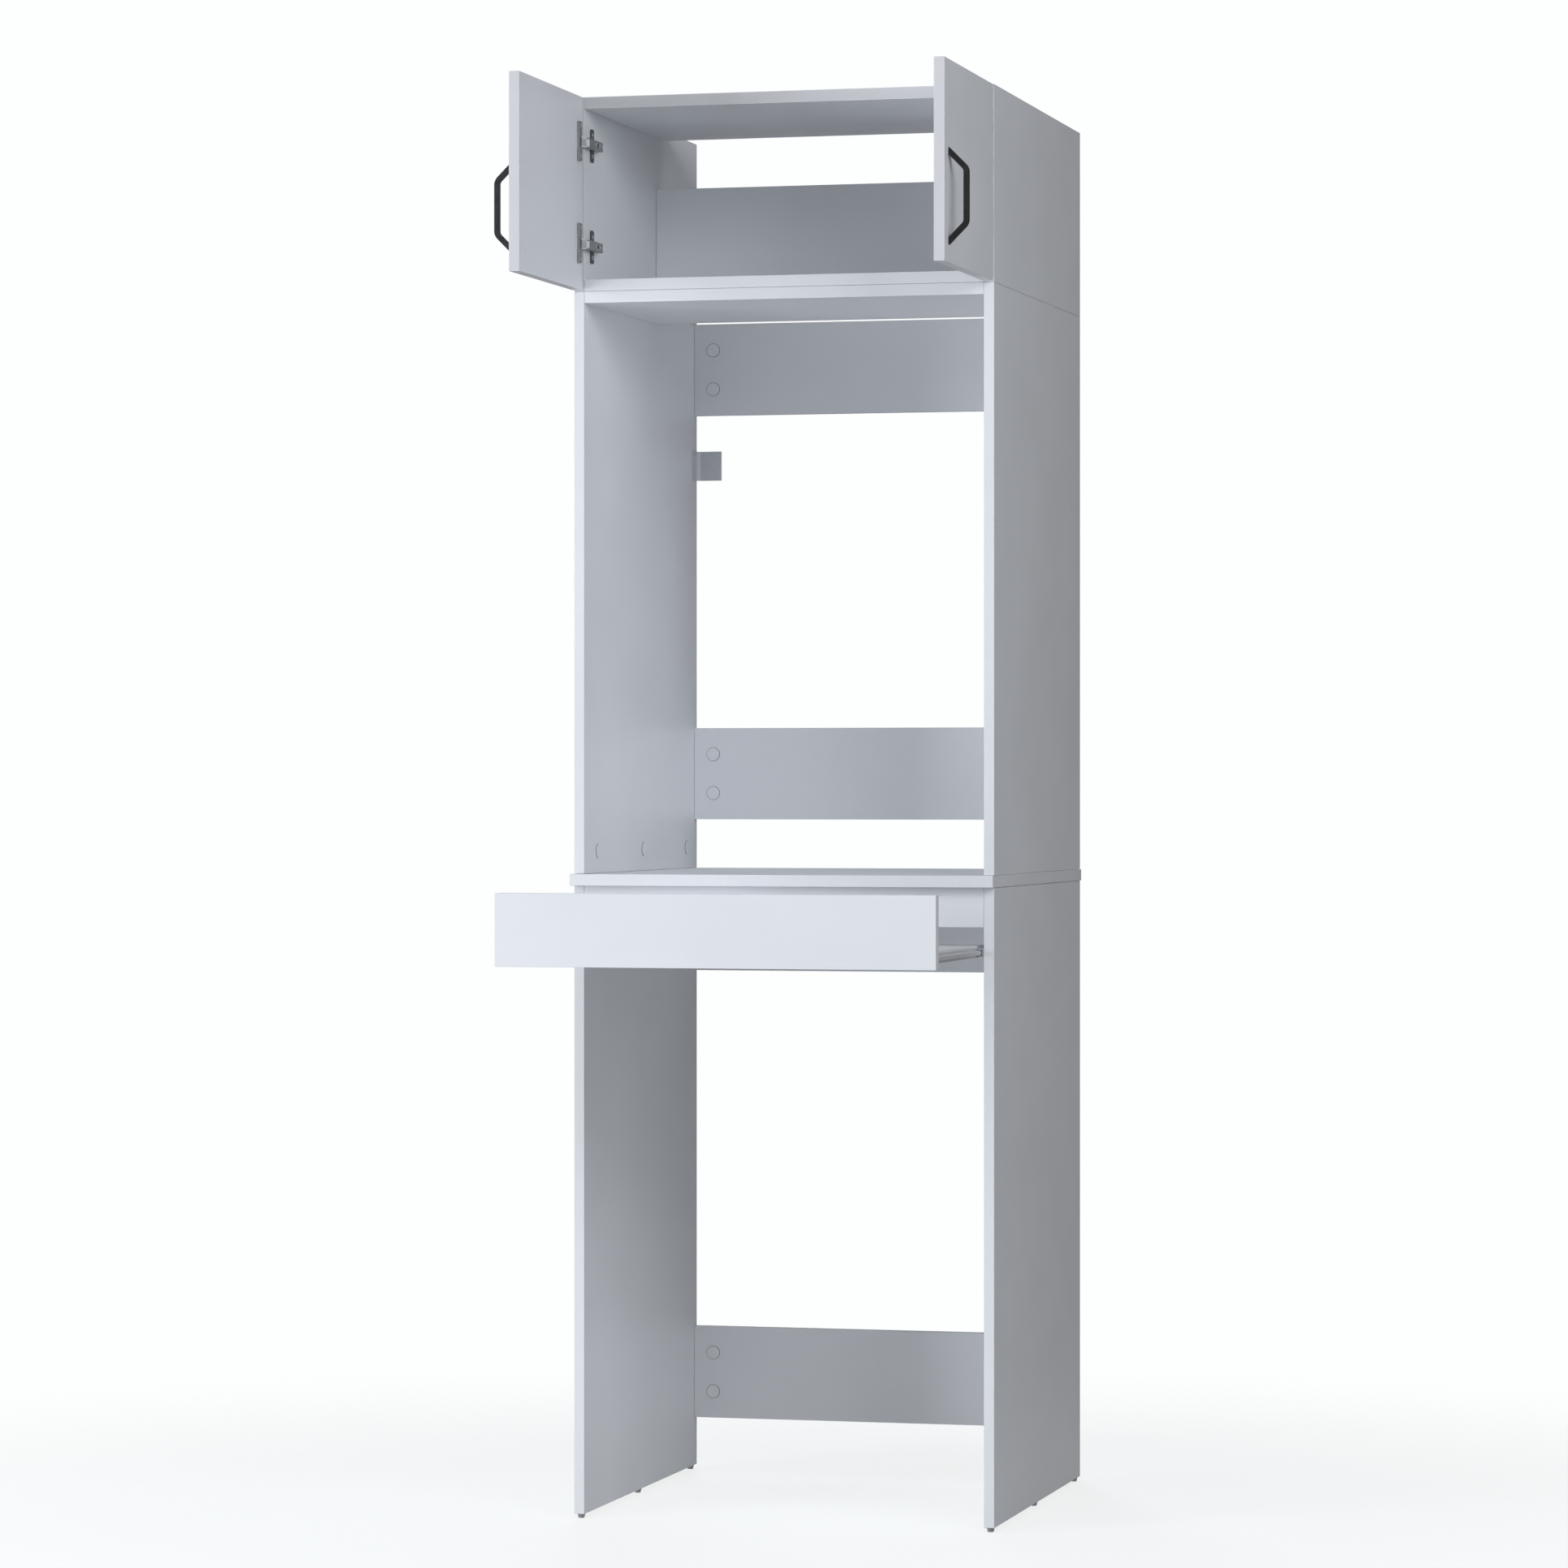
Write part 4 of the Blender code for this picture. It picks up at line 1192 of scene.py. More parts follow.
@dataclass
class Glides(SubAssembly):
    """The glides that the lower sides stand on: tapered discs, each with its nail.

    Args:
        foot: The radius that they stand on.
        shoulder: Their radius at the top.
        edge: The radius of their rounded edges.
        pit: The radius of the pit that the nail's head lies in.
        pit_depth: Its depth.
        nail: The nail's head.
    """

    foot: float = 0.0046
    shoulder: float = 0.0060
    edge: float = 0.0006
    pit: float = 0.0024
    pit_depth: float = 0.0012
    nail: ScrewHead = ScrewHead(0.00216, 0.0005, surface=Surface.ZINC)

    def build(self) -> list[Piece]:
        """Turn each glide in the place of its node.

        Returns:
            One piece for each glide.
        """
        found = []
        for hand in Hand:
            top = panel_box(f"lower_side_{hand.word}")[0].z - FIT
            profile = [
                (0, self.pit_depth), (self.pit, self.pit_depth), (self.pit + self.edge / 2, 0),
                *arc((self.foot - self.edge, self.edge), self.edge, -pi / 2, 0),
                *arc((self.shoulder - self.edge, top - self.edge), self.edge, 0, pi / 2), (0, top),
            ]
            for place in GLIDE_PLACES:
                node = f"foot_{hand.word}_{place}"
                centre = middle_of(node)
                nail = self.nail.shape()
                nail.move(Matrix.Rotation(pi, 4, "X") @ Matrix.Translation((0, 0, -self.pit_depth)))
                shape = lathe(profile, Surface.GLIDE).add(nail)
                shape.move(Matrix.Translation((centre.x, centre.y, 0)))
                found.append(Piece(f"{node}_glide", shape, "carcass", (node,)))
        return found


@dataclass
class WallBracket(SubAssembly):
    """A folded bracket behind a middle side, with the wall's screw in it.

    Args:
        hand: Which side it is on.
        sheet: Its thickness.
        height: Its height.
        reach: How far it reaches along the side.
        joggle: How far it steps off from the side.
        plate: How wide the plate on the wall is.
        fold: The radius of its folds.
        edge: How far its broken edges reach.
        hole: The radius of the wall screw's hole.
        wall_screw: The wall screw's head.
        side_screw: The head of a screw in the side.
        screws: How far those two screws are apart.
    """

    hand: Hand
    sheet: float = 0.0015
    height: float = 0.048
    reach: float = 0.030
    joggle: float = 0.0055
    plate: float = 0.036
    fold: float = 0.0016
    edge: float = 0.0003
    hole: float = 0.00275
    wall_screw: ScrewHead = ScrewHead(0.0042, 0.0004, False, Surface.SHEET)
    side_screw: ScrewHead = ScrewHead(0.0035, 0.0005, False, Surface.SHEET)
    screws: float = 0.028

    def build(self) -> list[Piece]:
        """Fold the bracket, bore it, and add its screws.

        Returns:
            The bracket as one piece.
        """
        node = f"wall_bracket_{self.hand.word}"
        low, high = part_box(node)
        level, half = (low.z + high.z) / 2, self.height / 2
        sign = self.hand.value
        wall = self.hand.inner(panel_box(f"middle_side_{self.hand.word}"))
        near, rear = FIT + self.sheet / 2, high.y - self.sheet / 2
        front, step = high.y + FIT - self.reach, rear - self.joggle
        offset = near + self.joggle
        chain = [(near, front), (near, step), (offset, rear), (offset + self.plate, rear)]
        outline = folded([(wall - sign * off, depth) for off, depth in chain], self.sheet, self.fold)
        shape = prism(outline, level - half, level + half, Surface.SHEET)
        middle = wall - sign * (offset + self.plate / 2)
        bore = rod(self.hole, -OVERRUN * 2, OVERRUN * 2, Surface.SHEET)
        shape.cut(bore.move(facing(BACK, UP, (middle, rear, level)))).soften(self.edge, ROUND_STEPS)
        seat = (middle, high.y - self.sheet, level)
        shape.add(self.wall_screw.shape().move(facing(-BACK, UP, seat)))
        for up in (-self.screws / 2, self.screws / 2):
            seat = (wall - sign * (FIT + self.sheet), (front + step) / 2, level + up)
            shape.add(self.side_screw.shape().move(facing(self.hand.inward, UP, seat)))
        return [Piece(f"{node}_sheet", shape, "carcass", (node,))]


@dataclass
class TrayBoard(Board):
    """The pull-out board, bored from below for the three cam locks behind its front.

    Args:
        lock: A lock's radius.
        lock_floor: How much of the board stays over a lock.
    """

    rides: str = "tray"
    lock: float = 0.0075
    lock_floor: float = 0.0035

    def bores(self) -> list[Shape]:
        """Bore for the locks.

        Returns:
            The bores' shapes.
        """
        low, high = self.corners()
        found = []
        for place in LOCK_PLACES:
            centre = middle_of(f"tray_cam_lock_{place}")
            bore = rod(self.lock + FIT, low.z - OVERRUN, high.z - self.lock_floor, Surface.CHIPBOARD)
            found.append(bore.move(Matrix.Translation((centre.x, centre.y, 0))))
        return found


@dataclass
class CamLocks(SubAssembly):
    """The locks under the tray board: zinc discs with a rim and a cross slot.

    Args:
        radius: Their radius.
        rim: The width of the rim.
        dish: How deep the disc lies in it.
        slot: The slot's width.
        slot_reach: How far the long slot reaches from the middle.
        cross_share: The short slot's reach as a share of that.
        slot_depth: The slots' depth.
    """

    radius: float = 0.0075
    rim: float = 0.0009
    dish: float = 0.0004
    slot: float = 0.0012
    slot_reach: float = 0.00606
    cross_share: float = 0.6
    slot_depth: float = 0.0020

    def build(self) -> list[Piece]:
        """Turn each lock and cut its cross slot.

        Returns:
            One piece for each lock.
        """
        inner, half = self.radius - self.rim, self.slot / 2
        found = []
        for place in LOCK_PLACES:
            node = f"tray_cam_lock_{place}"
            low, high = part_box(node)
            centre, height = middle_of(node), high.z - low.z
            profile = [
                (0, self.dish), (inner, self.dish), (inner, 0), (self.radius - self.dish, 0),
                (self.radius, self.dish), (self.radius, height), (0, height),
            ]
            bars = [
                block((-x, -y, -OVERRUN), (x, y, self.dish + self.slot_depth), Surface.ZINC)
                for x, y in ((self.slot_reach, half), (half, self.slot_reach * self.cross_share))
            ]
            shape = lathe(profile, Surface.ZINC).cut(*bars)
            shape.move(Matrix.Translation((centre.x, centre.y, low.z)))
            found.append(Piece(f"{node}_disc", shape, "tray", (node,)))
        return found


@dataclass
class Runner(SubAssembly):
    """A ball runner beside the tray: the fixed member, the tray's member, and the cage with its balls.

    Args:
        hand: Which side it is on.
        rest: Where the bodies lie.
        wall: How far the side's inner face lies from the middle.
        room: How much room the runner takes beside the tray.
        length: How long its members are.
        setback: How far they lie from the front.
        height: How high they are.
        sheet: Their thickness.
        fixed_depth: How deep the fixed member is.
        tray_depth: How deep the tray's member is.
        hat: The height of the tray's member between the tracks.
        cage_length: How long the cage is.
        cage_sheet: Its thickness.
        cage_gap: Its distance from the fixed member.
        cage_tip: How far its lips reach from the side.
        ball_distance: How far the balls lie from the side.
        ball_pitch: The distance between balls.
        ball_play: The play on each side of a ball.
        balls: How many lie in each track.
        fold: The radius of the folds.
        screw_shares: Where the screws sit, as shares of the length.
        fixed_screw: The head of a screw in the fixed member, countersunk flush.
        tray_screw: The head of a screw in the tray's member.
    """

    hand: Hand
    rest: RestPose
    wall: float = 0.314
    room: float = 0.0127
    length: float = 0.445
    setback: float = 0.002
    height: float = 0.014
    sheet: float = 0.0012
    fixed_depth: float = 0.0092
    tray_depth: float = 0.0082
    hat: float = 0.0068
    cage_length: float = 0.064
    cage_sheet: float = 0.001
    cage_gap: float = 0.0004
    cage_tip: float = 0.009
    ball_distance: float = 0.0064
    ball_pitch: float = 0.014
    ball_play: float = 0.0001
    balls: int = 4
    fold: float = 0.0011
    screw_shares: tuple[float, ...] = (0.08, 0.5, 0.92)
    fixed_screw: ScrewHead = ScrewHead(0.0026, 0.0002, domed=False)
    tray_screw: ScrewHead = ScrewHead(0.0022, 0.0006)

    @property
    def middle(self) -> float:
        """The runner's mid height."""
        return middle_of(f"slide_cabinet_{self.hand.word}").z

    @property
    def track(self) -> float:
        """How far the tracks lie over and under the runner's middle."""
        return (self.height / 2 - self.sheet + self.hat / 2) / 2

    def section(self, chain: Sequence[Point], sheet: float, first: float, length: float) -> Shape:
        """Fold a sheet along a chain of distances from the side and heights, and run it back.

        Args:
            chain: The corners of its middle line.
            sheet: Its thickness.
            first: Where its front end lies.
            length: How long it is.

        Returns:
            The member.
        """
        shape = prism(folded(chain, sheet, self.fold), 0, length, Surface.SHEET)
        origin = (self.hand.value * self.wall, first, self.middle)
        turn = Matrix([(-self.hand.value, 0, 0, 0), (0, 0, 1, 0), (0, 1, 0, 0), (0, 0, 0, 1)])
        return shape.move(Matrix.Translation(origin) @ turn)

    def build(self) -> list[Piece]:
        """Build the three members where they lie at rest.

        Returns:
            One piece for each member.
        """
        half = self.sheet / 2
        web, lip, tip = FIT + half, self.height / 2 - half, FIT + self.fixed_depth
        foot, crown, end = self.room - FIT - half, self.hat / 2 - half, self.height / 2
        hat = foot - (self.tray_depth - self.sheet)
        cage_web = FIT + self.sheet + self.cage_gap + self.cage_sheet / 2
        cage_front = self.setback + (self.length - self.cage_length) / 2
        # The upper half of each member's middle line; the lower half mirrors it.
        uppers = (
            [(tip, lip), (web, lip)],
            [(foot, end), (foot, crown), (hat, crown)],
            [(self.cage_tip, self.track), (cage_web, self.track)],
        )
        lines = [upper + [(off, -up) for off, up in reversed(upper)] for upper in uppers]
        fixed, moving = (self.section(line, self.sheet, self.setback, self.length) for line in lines[:2])
        cage = self.section(lines[2], self.cage_sheet, cage_front, self.cage_length)
        self.add_screws(fixed, moving)
        self.add_balls(cage, cage_front)
        word = self.hand.word
        made = (
            (f"slide_cabinet_{word}", fixed, "carcass"),
            (f"slide_tray_{word}", moving, "tray"),
            (f"ball_cage_{word}", cage, f"ball_cage_{word}"),
        )
        return [
            Piece(f"{node}_member", shape.move(self.rest.of(body)), body, (node,))
            for node, shape, body in made
        ]

    def add_screws(self, fixed: Shape, moving: Shape) -> None:
        """Add the screws' heads.

        Args:
            fixed: The fixed member.
            moving: The tray's member.
        """
        sign = self.hand.value
        for share in self.screw_shares:
            depth = self.setback + self.length * share
            seat = (sign * (self.wall - FIT - self.sheet), depth, self.middle)
            fixed.add(self.fixed_screw.shape().move(facing(self.hand.inward, UP, seat)))
            seat = (sign * (self.wall - self.room + FIT + self.tray_depth), depth, self.middle)
            moving.add(self.tray_screw.shape().move(facing(self.hand.outward, UP, seat)))

    def add_balls(self, cage: Shape, front: float) -> None:
        """Add the balls in both tracks.

        Args:
            cage: The cage.
            front: Where its front end lies.
        """
        radius = (self.height / 2 - self.sheet - self.hat / 2) / 2 - self.ball_play
        first = front + (self.cage_length - self.ball_pitch * (self.balls - 1)) / 2
        across = self.hand.value * (self.wall - self.ball_distance)
        for step in range(self.balls):
            for up in (-self.track, self.track):
                body = bmesh.new()
                spot = Matrix.Translation((across, first + step * self.ball_pitch, self.middle + up))
                bmesh.ops.create_icosphere(body, subdivisions=3, radius=radius, matrix=spot)
                cage.add(Shape(body, Surface.NICKEL))


@dataclass
class Tray(SubAssembly):
    """The pull-out tray: its board, its front, the cam locks between them and both runners.

    Args:
        rest: Where the bodies lie.
    """

    rest: RestPose

    def build(self) -> list[Piece]:
        """Build the tray's boards, locks and runners.

        Returns:
            Their pieces.
        """
        parts = [Board("drawer_front", rides="tray"), TrayBoard("tray_board"), CamLocks()]
        parts += [Runner(hand, self.rest) for hand in Hand]
        return [piece for part in parts for piece in part.build()]


@dataclass
class Door(Board):
    """A door, bored for its hinge cups and its handle's screws.

    Args:
        hand: Which door it is.
        rest: Where the bodies lie.
        cup_radius: The radius of a cup's bore.
        cup_depth: Its depth.
        screw_radius: The radius of a screw head's bore.
        screw_depth: Its depth.
    """

    hand: Hand = Hand.LEFT
    rest: RestPose | None = None
    cup_radius: float = 0.0172
    cup_depth: float = 0.012
    screw_radius: float = 0.0032
    screw_depth: float = 0.0016

    def bores(self) -> list[Shape]:
        """Bore for the cups and for the heads of the handle's screws.

        Returns:
            The bores' shapes.
        """
        inner = self.hand.inner(self.corners())
        cup = self.rest.of(self.rides) @ (self.hand.outward * Hinge.cup_x)
        found = []
        for level in Level:
            word = f"{self.hand.word}_{level.value}"
            hinge, screw = middle_of(f"hinge_plate_{word}"), middle_of(f"handle_screw_{word}")
            holes = (
                (self.cup_radius, self.cup_depth, Surface.CHIPBOARD, cup.y, hinge.z),
                (self.screw_radius, self.screw_depth, Surface.BAND, screw.y, screw.z),
            )
            for radius, depth, surface, ahead, height in holes:
                bore = rod(radius + FIT / 2, -depth, OVERRUN, surface)
                found.append(bore.move(facing(self.hand.inward, UP, (inner, ahead, height))))
        return found


@dataclass
class Handle(SubAssembly):
    """A bow handle and its two screws.

    Args:
        hand: Which door it is on.
        span: Its length over both feet.
        projection: How far it stands off the door.
        bar: The bar's thickness.
        width: Its width.
        bend_radius: The radius of the bar's middle line in the bends.
        bend: The angle of the bends.
        bend_steps: How many faces lie along a bend.
        edge: How far its rounded edges reach.
        edge_angle: The least angle between faces whose edge is rounded.
        screw: A screw's head.
        screw_seat: How deep it lies in the door.
    """

    hand: Hand
    span: float = 0.1432
    projection: float = 0.0305
    bar: float = 0.008
    width: float = 0.008
    bend_radius: float = 0.0125
    bend: float = radians(45)
    bend_steps: int = 10
    edge: float = 0.0007
    edge_angle: float = radians(60)
    screw: ScrewHead = ScrewHead(0.0032, 0.0015, False, Surface.CAP)
    screw_seat: float = 0.0016

    def limb(self, foot: float, out: float, radius: float) -> list[Point]:
        """Give one edge of the bow's upper half: from its foot on the door to the end of its bend.

        Args:
            foot: Where it starts, from the bow's middle.
            out: How far from the door it ends up.
            radius: The radius of its bend.

        Returns:
            Its points, up the door on the first axis and out from it on the second.
        """
        bend = foot - out / tan(self.bend) - radius * tan(self.bend / 2)
        curve = arc((bend, out - radius), radius, pi / 2 - self.bend, pi / 2, self.bend_steps)
        return [(foot - FIT / tan(self.bend), FIT), *curve]

    def outline(self) -> list[Point]:
        """Give the bow's outline: up the door on the first axis, out from it on the second.

        Returns:
            Its points in order.
        """
        foot, half = self.span / 2, self.bar / 2
        inner_foot, inner_out = foot - self.bar / sin(self.bend), self.projection - self.bar
        outer = self.limb(foot, self.projection, self.bend_radius + half)
        inner = self.limb(inner_foot, inner_out, self.bend_radius - half)
        mirrored_outer = [(-place, out) for place, out in reversed(outer)]
        mirrored_inner = [(-place, out) for place, out in inner]
        return outer + mirrored_outer + mirrored_inner + inner[::-1]

    def build(self) -> list[Piece]:
        """Build the bow and the heads of its screws.

        Returns:
            One piece for each.
        """
        word, half = self.hand.word, self.width / 2
        body, node = f"door_{word}", f"handle_{word}"
        door, centre = panel_box(body), middle_of(node)
        bow = prism(self.outline(), -half, half, Surface.LACQUER)
        bow.soften(self.edge, ROUND_STEPS, self.edge_angle)
        bow.move(oriented(UP, self.hand.outward, (self.hand.outer(door), centre.y, centre.z)))
        found = [Piece(f"{node}_bow", bow, body, (node,))]
        across = self.hand.inner(door) + self.hand.value * self.screw_seat
        for level in Level:
            node = f"handle_screw_{word}_{level.value}"
            centre = middle_of(node)
            head = self.screw.shape().move(facing(self.hand.inward, UP, (across, centre.y, centre.z)))
            found.append(Piece(f"{node}_head", head, body, (node,)))
        return found


@dataclass
class Hinge(SubAssembly):
    """One concealed hinge: cup, link, arm and mounting plate.

    A wing is the flange that holds the cup on the door, a boss is the block of the plate that the arm
    sits on, and a mouth is the opening that the link goes through. Widths and heights lie across the
    arm, and places along y count from the front edges of the sides.

    Args:
        hand: Which door it is on.
        level: Whether it is the lower or the upper one.
        rest: Where the bodies lie.
    """

    hand: Hand
    level: Level
    rest: RestPose
    wall: float = 0.314
    door_gap: float = 0.002
    sheet_edge: float = 0.0002

    # The cup with its cover, its rim and its mouth.
    cup_x: float = 0.308
    cup_radius: float = 0.0172
    cup_depth: float = 0.0117
    cup_wall: float = 0.0013
    cup_round: float = 0.0015
    cup_lift: float = 0.0001
    cover_slope: float = 0.9
    flange: float = 0.0006
    flange_t: float = 0.0005
    flange_edge: float = 0.0003
    mouth: float = 0.0132

    # The wing, with its bridge over the mouth and its two screws.
    wing_width: float = 0.0146
    wing_height: float = 0.0042
    wing_inner: float = 0.0086
    wing_outer: float = 0.0305
    wing_bridge: float = 0.0026
    wing_corner: float = 0.0028
    wing_edge: float = 0.0009
    wing_wall_gap: float = 0.0006
    wing_screw: float = 0.024
    wing_head: ScrewHead = ScrewHead(0.0032, 0.0008)

    # The arm, with its slot, the notch in its rear end and its two screws.
    arm_width: float = 0.0146
    arm_height: float = 0.0094
    arm_sheet: float = 0.0012
    arm_front: float = -0.0045
    arm_rear: float = 0.062
    arm_fold: float = 0.0014
    slot: Pair = (0.032, 0.040)
    slot_width: float = 0.005
    notch: float = 0.003
    arm_screws: Pair = (0.025, 0.046)
    arm_head: ScrewHead = ScrewHead(0.0030, 0.0012)

    # The mounting plate, with its boss, two small holes and two screws.
    plate_t: float = 0.002
    plate_width: float = 0.016
    plate_length: float = 0.051
    plate_corner: float = 0.004
    plate_edge: float = 0.0003
    plate_y: float = 0.038
    plate_hole: float = 0.0225
    plate_hole_radius: float = 0.0011
    plate_hole_steps: int = 20
    plate_screw: float = 0.016
    plate_head: ScrewHead = ScrewHead(0.0035, 0.0010)
    boss: Pair = (0.010, 0.052)
    boss_edge: float = 0.0006

    # The arm's pin, and the link: a knuckle round the pin and a blade.
    pin_x: float = 0.3062
    pin_y: float = -0.0016
    pin_radius: float = 0.0011
    knuckle: float = 0.0024
    knuckle_steps: int = 32
    link_t: float = 0.0018
    link_length: float = 0.0155
    link_tip: float = 0.0012
    link_angle: float = radians(-37.3)
    blade_start: float = 0.0062
    blade_width: float = 0.0150
    blade_edge: float = 0.0004

    @property
    def height(self) -> float:
        """The hinge's mid height."""
        return middle_of(f"hinge_plate_{self.hand.word}_{self.level.value}").z

    @property
    def foot_x(self) -> float:
        """How far from the cabinet's middle the arm's feet stand on the plate."""
        return self.wall - FIT - self.plate_t - FIT

    def spot(self, across: float, depth: float, up: float = 0.0) -> Vector:
        """Give a point from its distance to the cabinet's middle, its y and its height over the hinge."""
        return Vector((self.hand.value * across, depth, self.height + up))

    def cup(self) -> Shape:
        """Turn the covered cup, cut its mouth, and add the wing that spans it with its screws.

        Returns:
            The cup.
        """
        top, outer, bottom = self.flange_t, self.cup_radius + self.flange, -self.cup_depth
        profile = [
            (0, top), (outer - self.flange_edge, top), (outer, top - self.flange_edge),
            (outer, self.cup_lift), (self.cup_radius, self.cup_lift),
            (self.cup_radius, bottom + self.cup_round), (self.cup_radius - self.cup_round, bottom),
            (0, bottom),
        ]
        shape = lathe(profile, Surface.SHEET)
        shape.finish(Surface.CAP, lambda normal: normal.z > self.cover_slope)
        shape.move(facing(BACK, UP, self.spot(self.cup_x, -self.door_gap)))
        edge = self.wall - self.wing_wall_gap
        bridge, middle = edge - self.wing_width + self.wing_bridge, edge - self.wing_width / 2
        floor, low = self.cup_wall - self.cup_depth - self.door_gap, FIT - self.door_gap
        high = low + self.wing_height
        shape.cut(block(
            self.spot(bridge, floor, -self.wing_inner),
            self.spot(self.cup_x + self.mouth, OVERRUN, self.wing_inner), Surface.ZINC,
        ))
        outline = oblong(self.wing_width, 2 * self.wing_outer, self.wing_corner)
        wing = prism(outline, 0, self.wing_height, Surface.ZINC)
        wing.move(facing(BACK, UP, self.spot(middle, low))).cut(block(
            self.spot(bridge, low - OVERRUN, -self.wing_inner),
            self.spot(edge + OVERRUN, high + OVERRUN, self.wing_inner), Surface.ZINC,
        ))
        shape.add(wing.soften(self.wing_edge, ROUND_STEPS))
        for up in (-self.wing_screw, self.wing_screw):
            shape.add(self.wing_head.shape().move(facing(BACK, UP, self.spot(middle, high, up))))
        return shape

    def arm(self) -> Shape:
        """Fold the arm, cut its slot and its notch, and add its pin and screws.

        Returns:
            The arm.
        """
        thick, lip = self.arm_sheet, self.arm_width / 2 - self.arm_sheet / 2
        top = self.foot_x - self.arm_height + thick / 2
        feet, crown = self.hand.value * self.foot_x, self.hand.value * top
        outline = folded([(feet, lip), (crown, lip), (crown, -lip), (feet, -lip)], thick, self.arm_fold)
        shape = prism(outline, 0, self.arm_rear - self.arm_front, Surface.ZINC)
        shape.move(Matrix([(1, 0, 0, 0), (0, 0, 1, self.arm_front), (0, 1, 0, self.height), (0, 0, 0, 1)]))
        slot = block(
            self.spot(top - thick, self.slot[0], -self.slot_width / 2),
            self.spot(top + thick, self.slot[1], self.slot_width / 2), Surface.ZINC,
        )
        notch = rod(self.notch, -thick, thick, Surface.ZINC, HOLE_STEPS)
        notch.move(facing(self.hand.outward, UP, self.spot(top, self.arm_rear)))
        shape.cut(slot, notch).soften(self.sheet_edge)
        reach = self.arm_width / 2 + FIT
        pin = rod(self.pin_radius, -reach, reach, Surface.NICKEL, HOLE_STEPS).soften(FIT)
        shape.add(pin.move(Matrix.Translation(self.spot(self.pin_x, self.pin_y))))
        for depth in self.arm_screws:
            seat = self.spot(top - thick / 2, depth)
            shape.add(self.arm_head.shape().move(facing(self.hand.inward, UP, seat)))
        return shape

    def plate(self) -> Shape:
        """Make the plate's strip and boss, bore the strip, and add its screws.

        Returns:
            The plate.
        """
        base, inward = self.wall - FIT, self.hand.inward
        top = base - self.plate_t
        outline = oblong(self.plate_width, self.plate_length, self.plate_corner)
        strip = prism(outline, 0, self.plate_t, Surface.DARK_ZINC)
        strip.move(facing(inward, UP, self.spot(base, self.plate_y)))
        for up in (-self.plate_hole, self.plate_hole):
            hole = rod(
                self.plate_hole_radius, -OVERRUN, self.plate_t + OVERRUN, Surface.DARK_ZINC,
                self.plate_hole_steps,
            )
            strip.cut(hole.move(facing(inward, UP, self.spot(base, self.plate_y, up))))
        strip.soften(self.plate_edge)
        crown = self.foot_x - self.arm_height + self.arm_sheet + FIT
        half = self.arm_width / 2 - self.arm_sheet - 2 * FIT
        boss = block(
            self.spot(crown, self.boss[0], -half), self.spot(top + FIT, self.boss[1], half),
            Surface.DARK_ZINC,
        )
        strip.add(boss.soften(self.boss_edge, ROUND_STEPS))
        for up in (-self.plate_screw, self.plate_screw):
            seat = self.spot(top, self.plate_y, up)
            strip.add(self.plate_head.shape().move(facing(inward, UP, seat)))
        return strip

    def blade(self, start: float, width: float) -> Shape:
        """Make a flat bar along x up to the link's tip.

        Args:
            start: Where it starts.
            width: Its width.

        Returns:
            The bar.
        """
        half, end = self.link_t / 2, self.link_length
        outline = [(start, -half), (end, -half), (end + self.link_tip, 0), (end, half), (start, half)]
        return prism(outline, -width / 2, width / 2, Surface.SATIN)

    def link(self) -> Shape:
        """Make the link that swings on the arm's pin: a knuckle and a flat blade.

        Returns:
            The link.
        """
        width = self.arm_width - 2 * self.arm_sheet - 2 * FIT
        room = rod(self.knuckle - FIT, -width, width, Surface.SATIN, self.knuckle_steps)
        bore = rod(self.pin_radius + FIT / 2, -width, width, Surface.SATIN, HOLE_STEPS)
        knuckle = rod(self.knuckle, -width / 2, width / 2, Surface.SATIN, self.knuckle_steps)
        shape = self.blade(0, width).cut(room).soften(self.sheet_edge)
        shape.add(knuckle.cut(bore).soften(self.sheet_edge))
        shape.add(self.blade(self.blade_start, self.blade_width).soften(self.blade_edge))
        half_turn = 0 if self.hand is Hand.RIGHT else pi
        turn = Matrix.Rotation(half_turn + self.hand.value * self.link_angle, 4, "Z")
        return shape.move(Matrix.Translation(self.spot(self.pin_x, self.pin_y)) @ turn)

    def build(self) -> list[Piece]:
        """Build the hinge's four pieces where they lie at rest.

        Returns:
            The pieces.
        """
        word = f"{self.hand.word}_{self.level.value}"
        made = (
            (f"hinge_cup_{word}", self.cup(), f"door_{self.hand.word}"),
            (f"hinge_arm_{word}", self.arm(), "carcass"),
            (f"hinge_plate_{word}", self.plate(), "carcass"),
            (f"hinge_link_{word}", self.link(), f"hinge_links_{self.hand.word}"),
        )
        return [
            Piece(f"{node}_steel", shape.move(self.rest.of(body)), body, (node,))
            for node, shape, body in made
        ]


@dataclass
class Cupboard(SubAssembly):
    """The doors with their handles and hinges.

    Args:
        rest: Where the bodies lie.
    """

    rest: RestPose

    def build(self) -> list[Piece]:
        """Build both doors with all that hangs on them.

        Returns:
            Their pieces.
        """
        parts: list[SubAssembly] = []
        for hand in Hand:
            body = f"door_{hand.word}"
            parts.append(Door(body, rides=body, front=Surface.DOOR_BAND, hand=hand, rest=self.rest))
            parts.append(Handle(hand))
            parts += [Hinge(hand, level, self.rest) for level in Level]
        return [piece for part in parts for piece in part.build()]


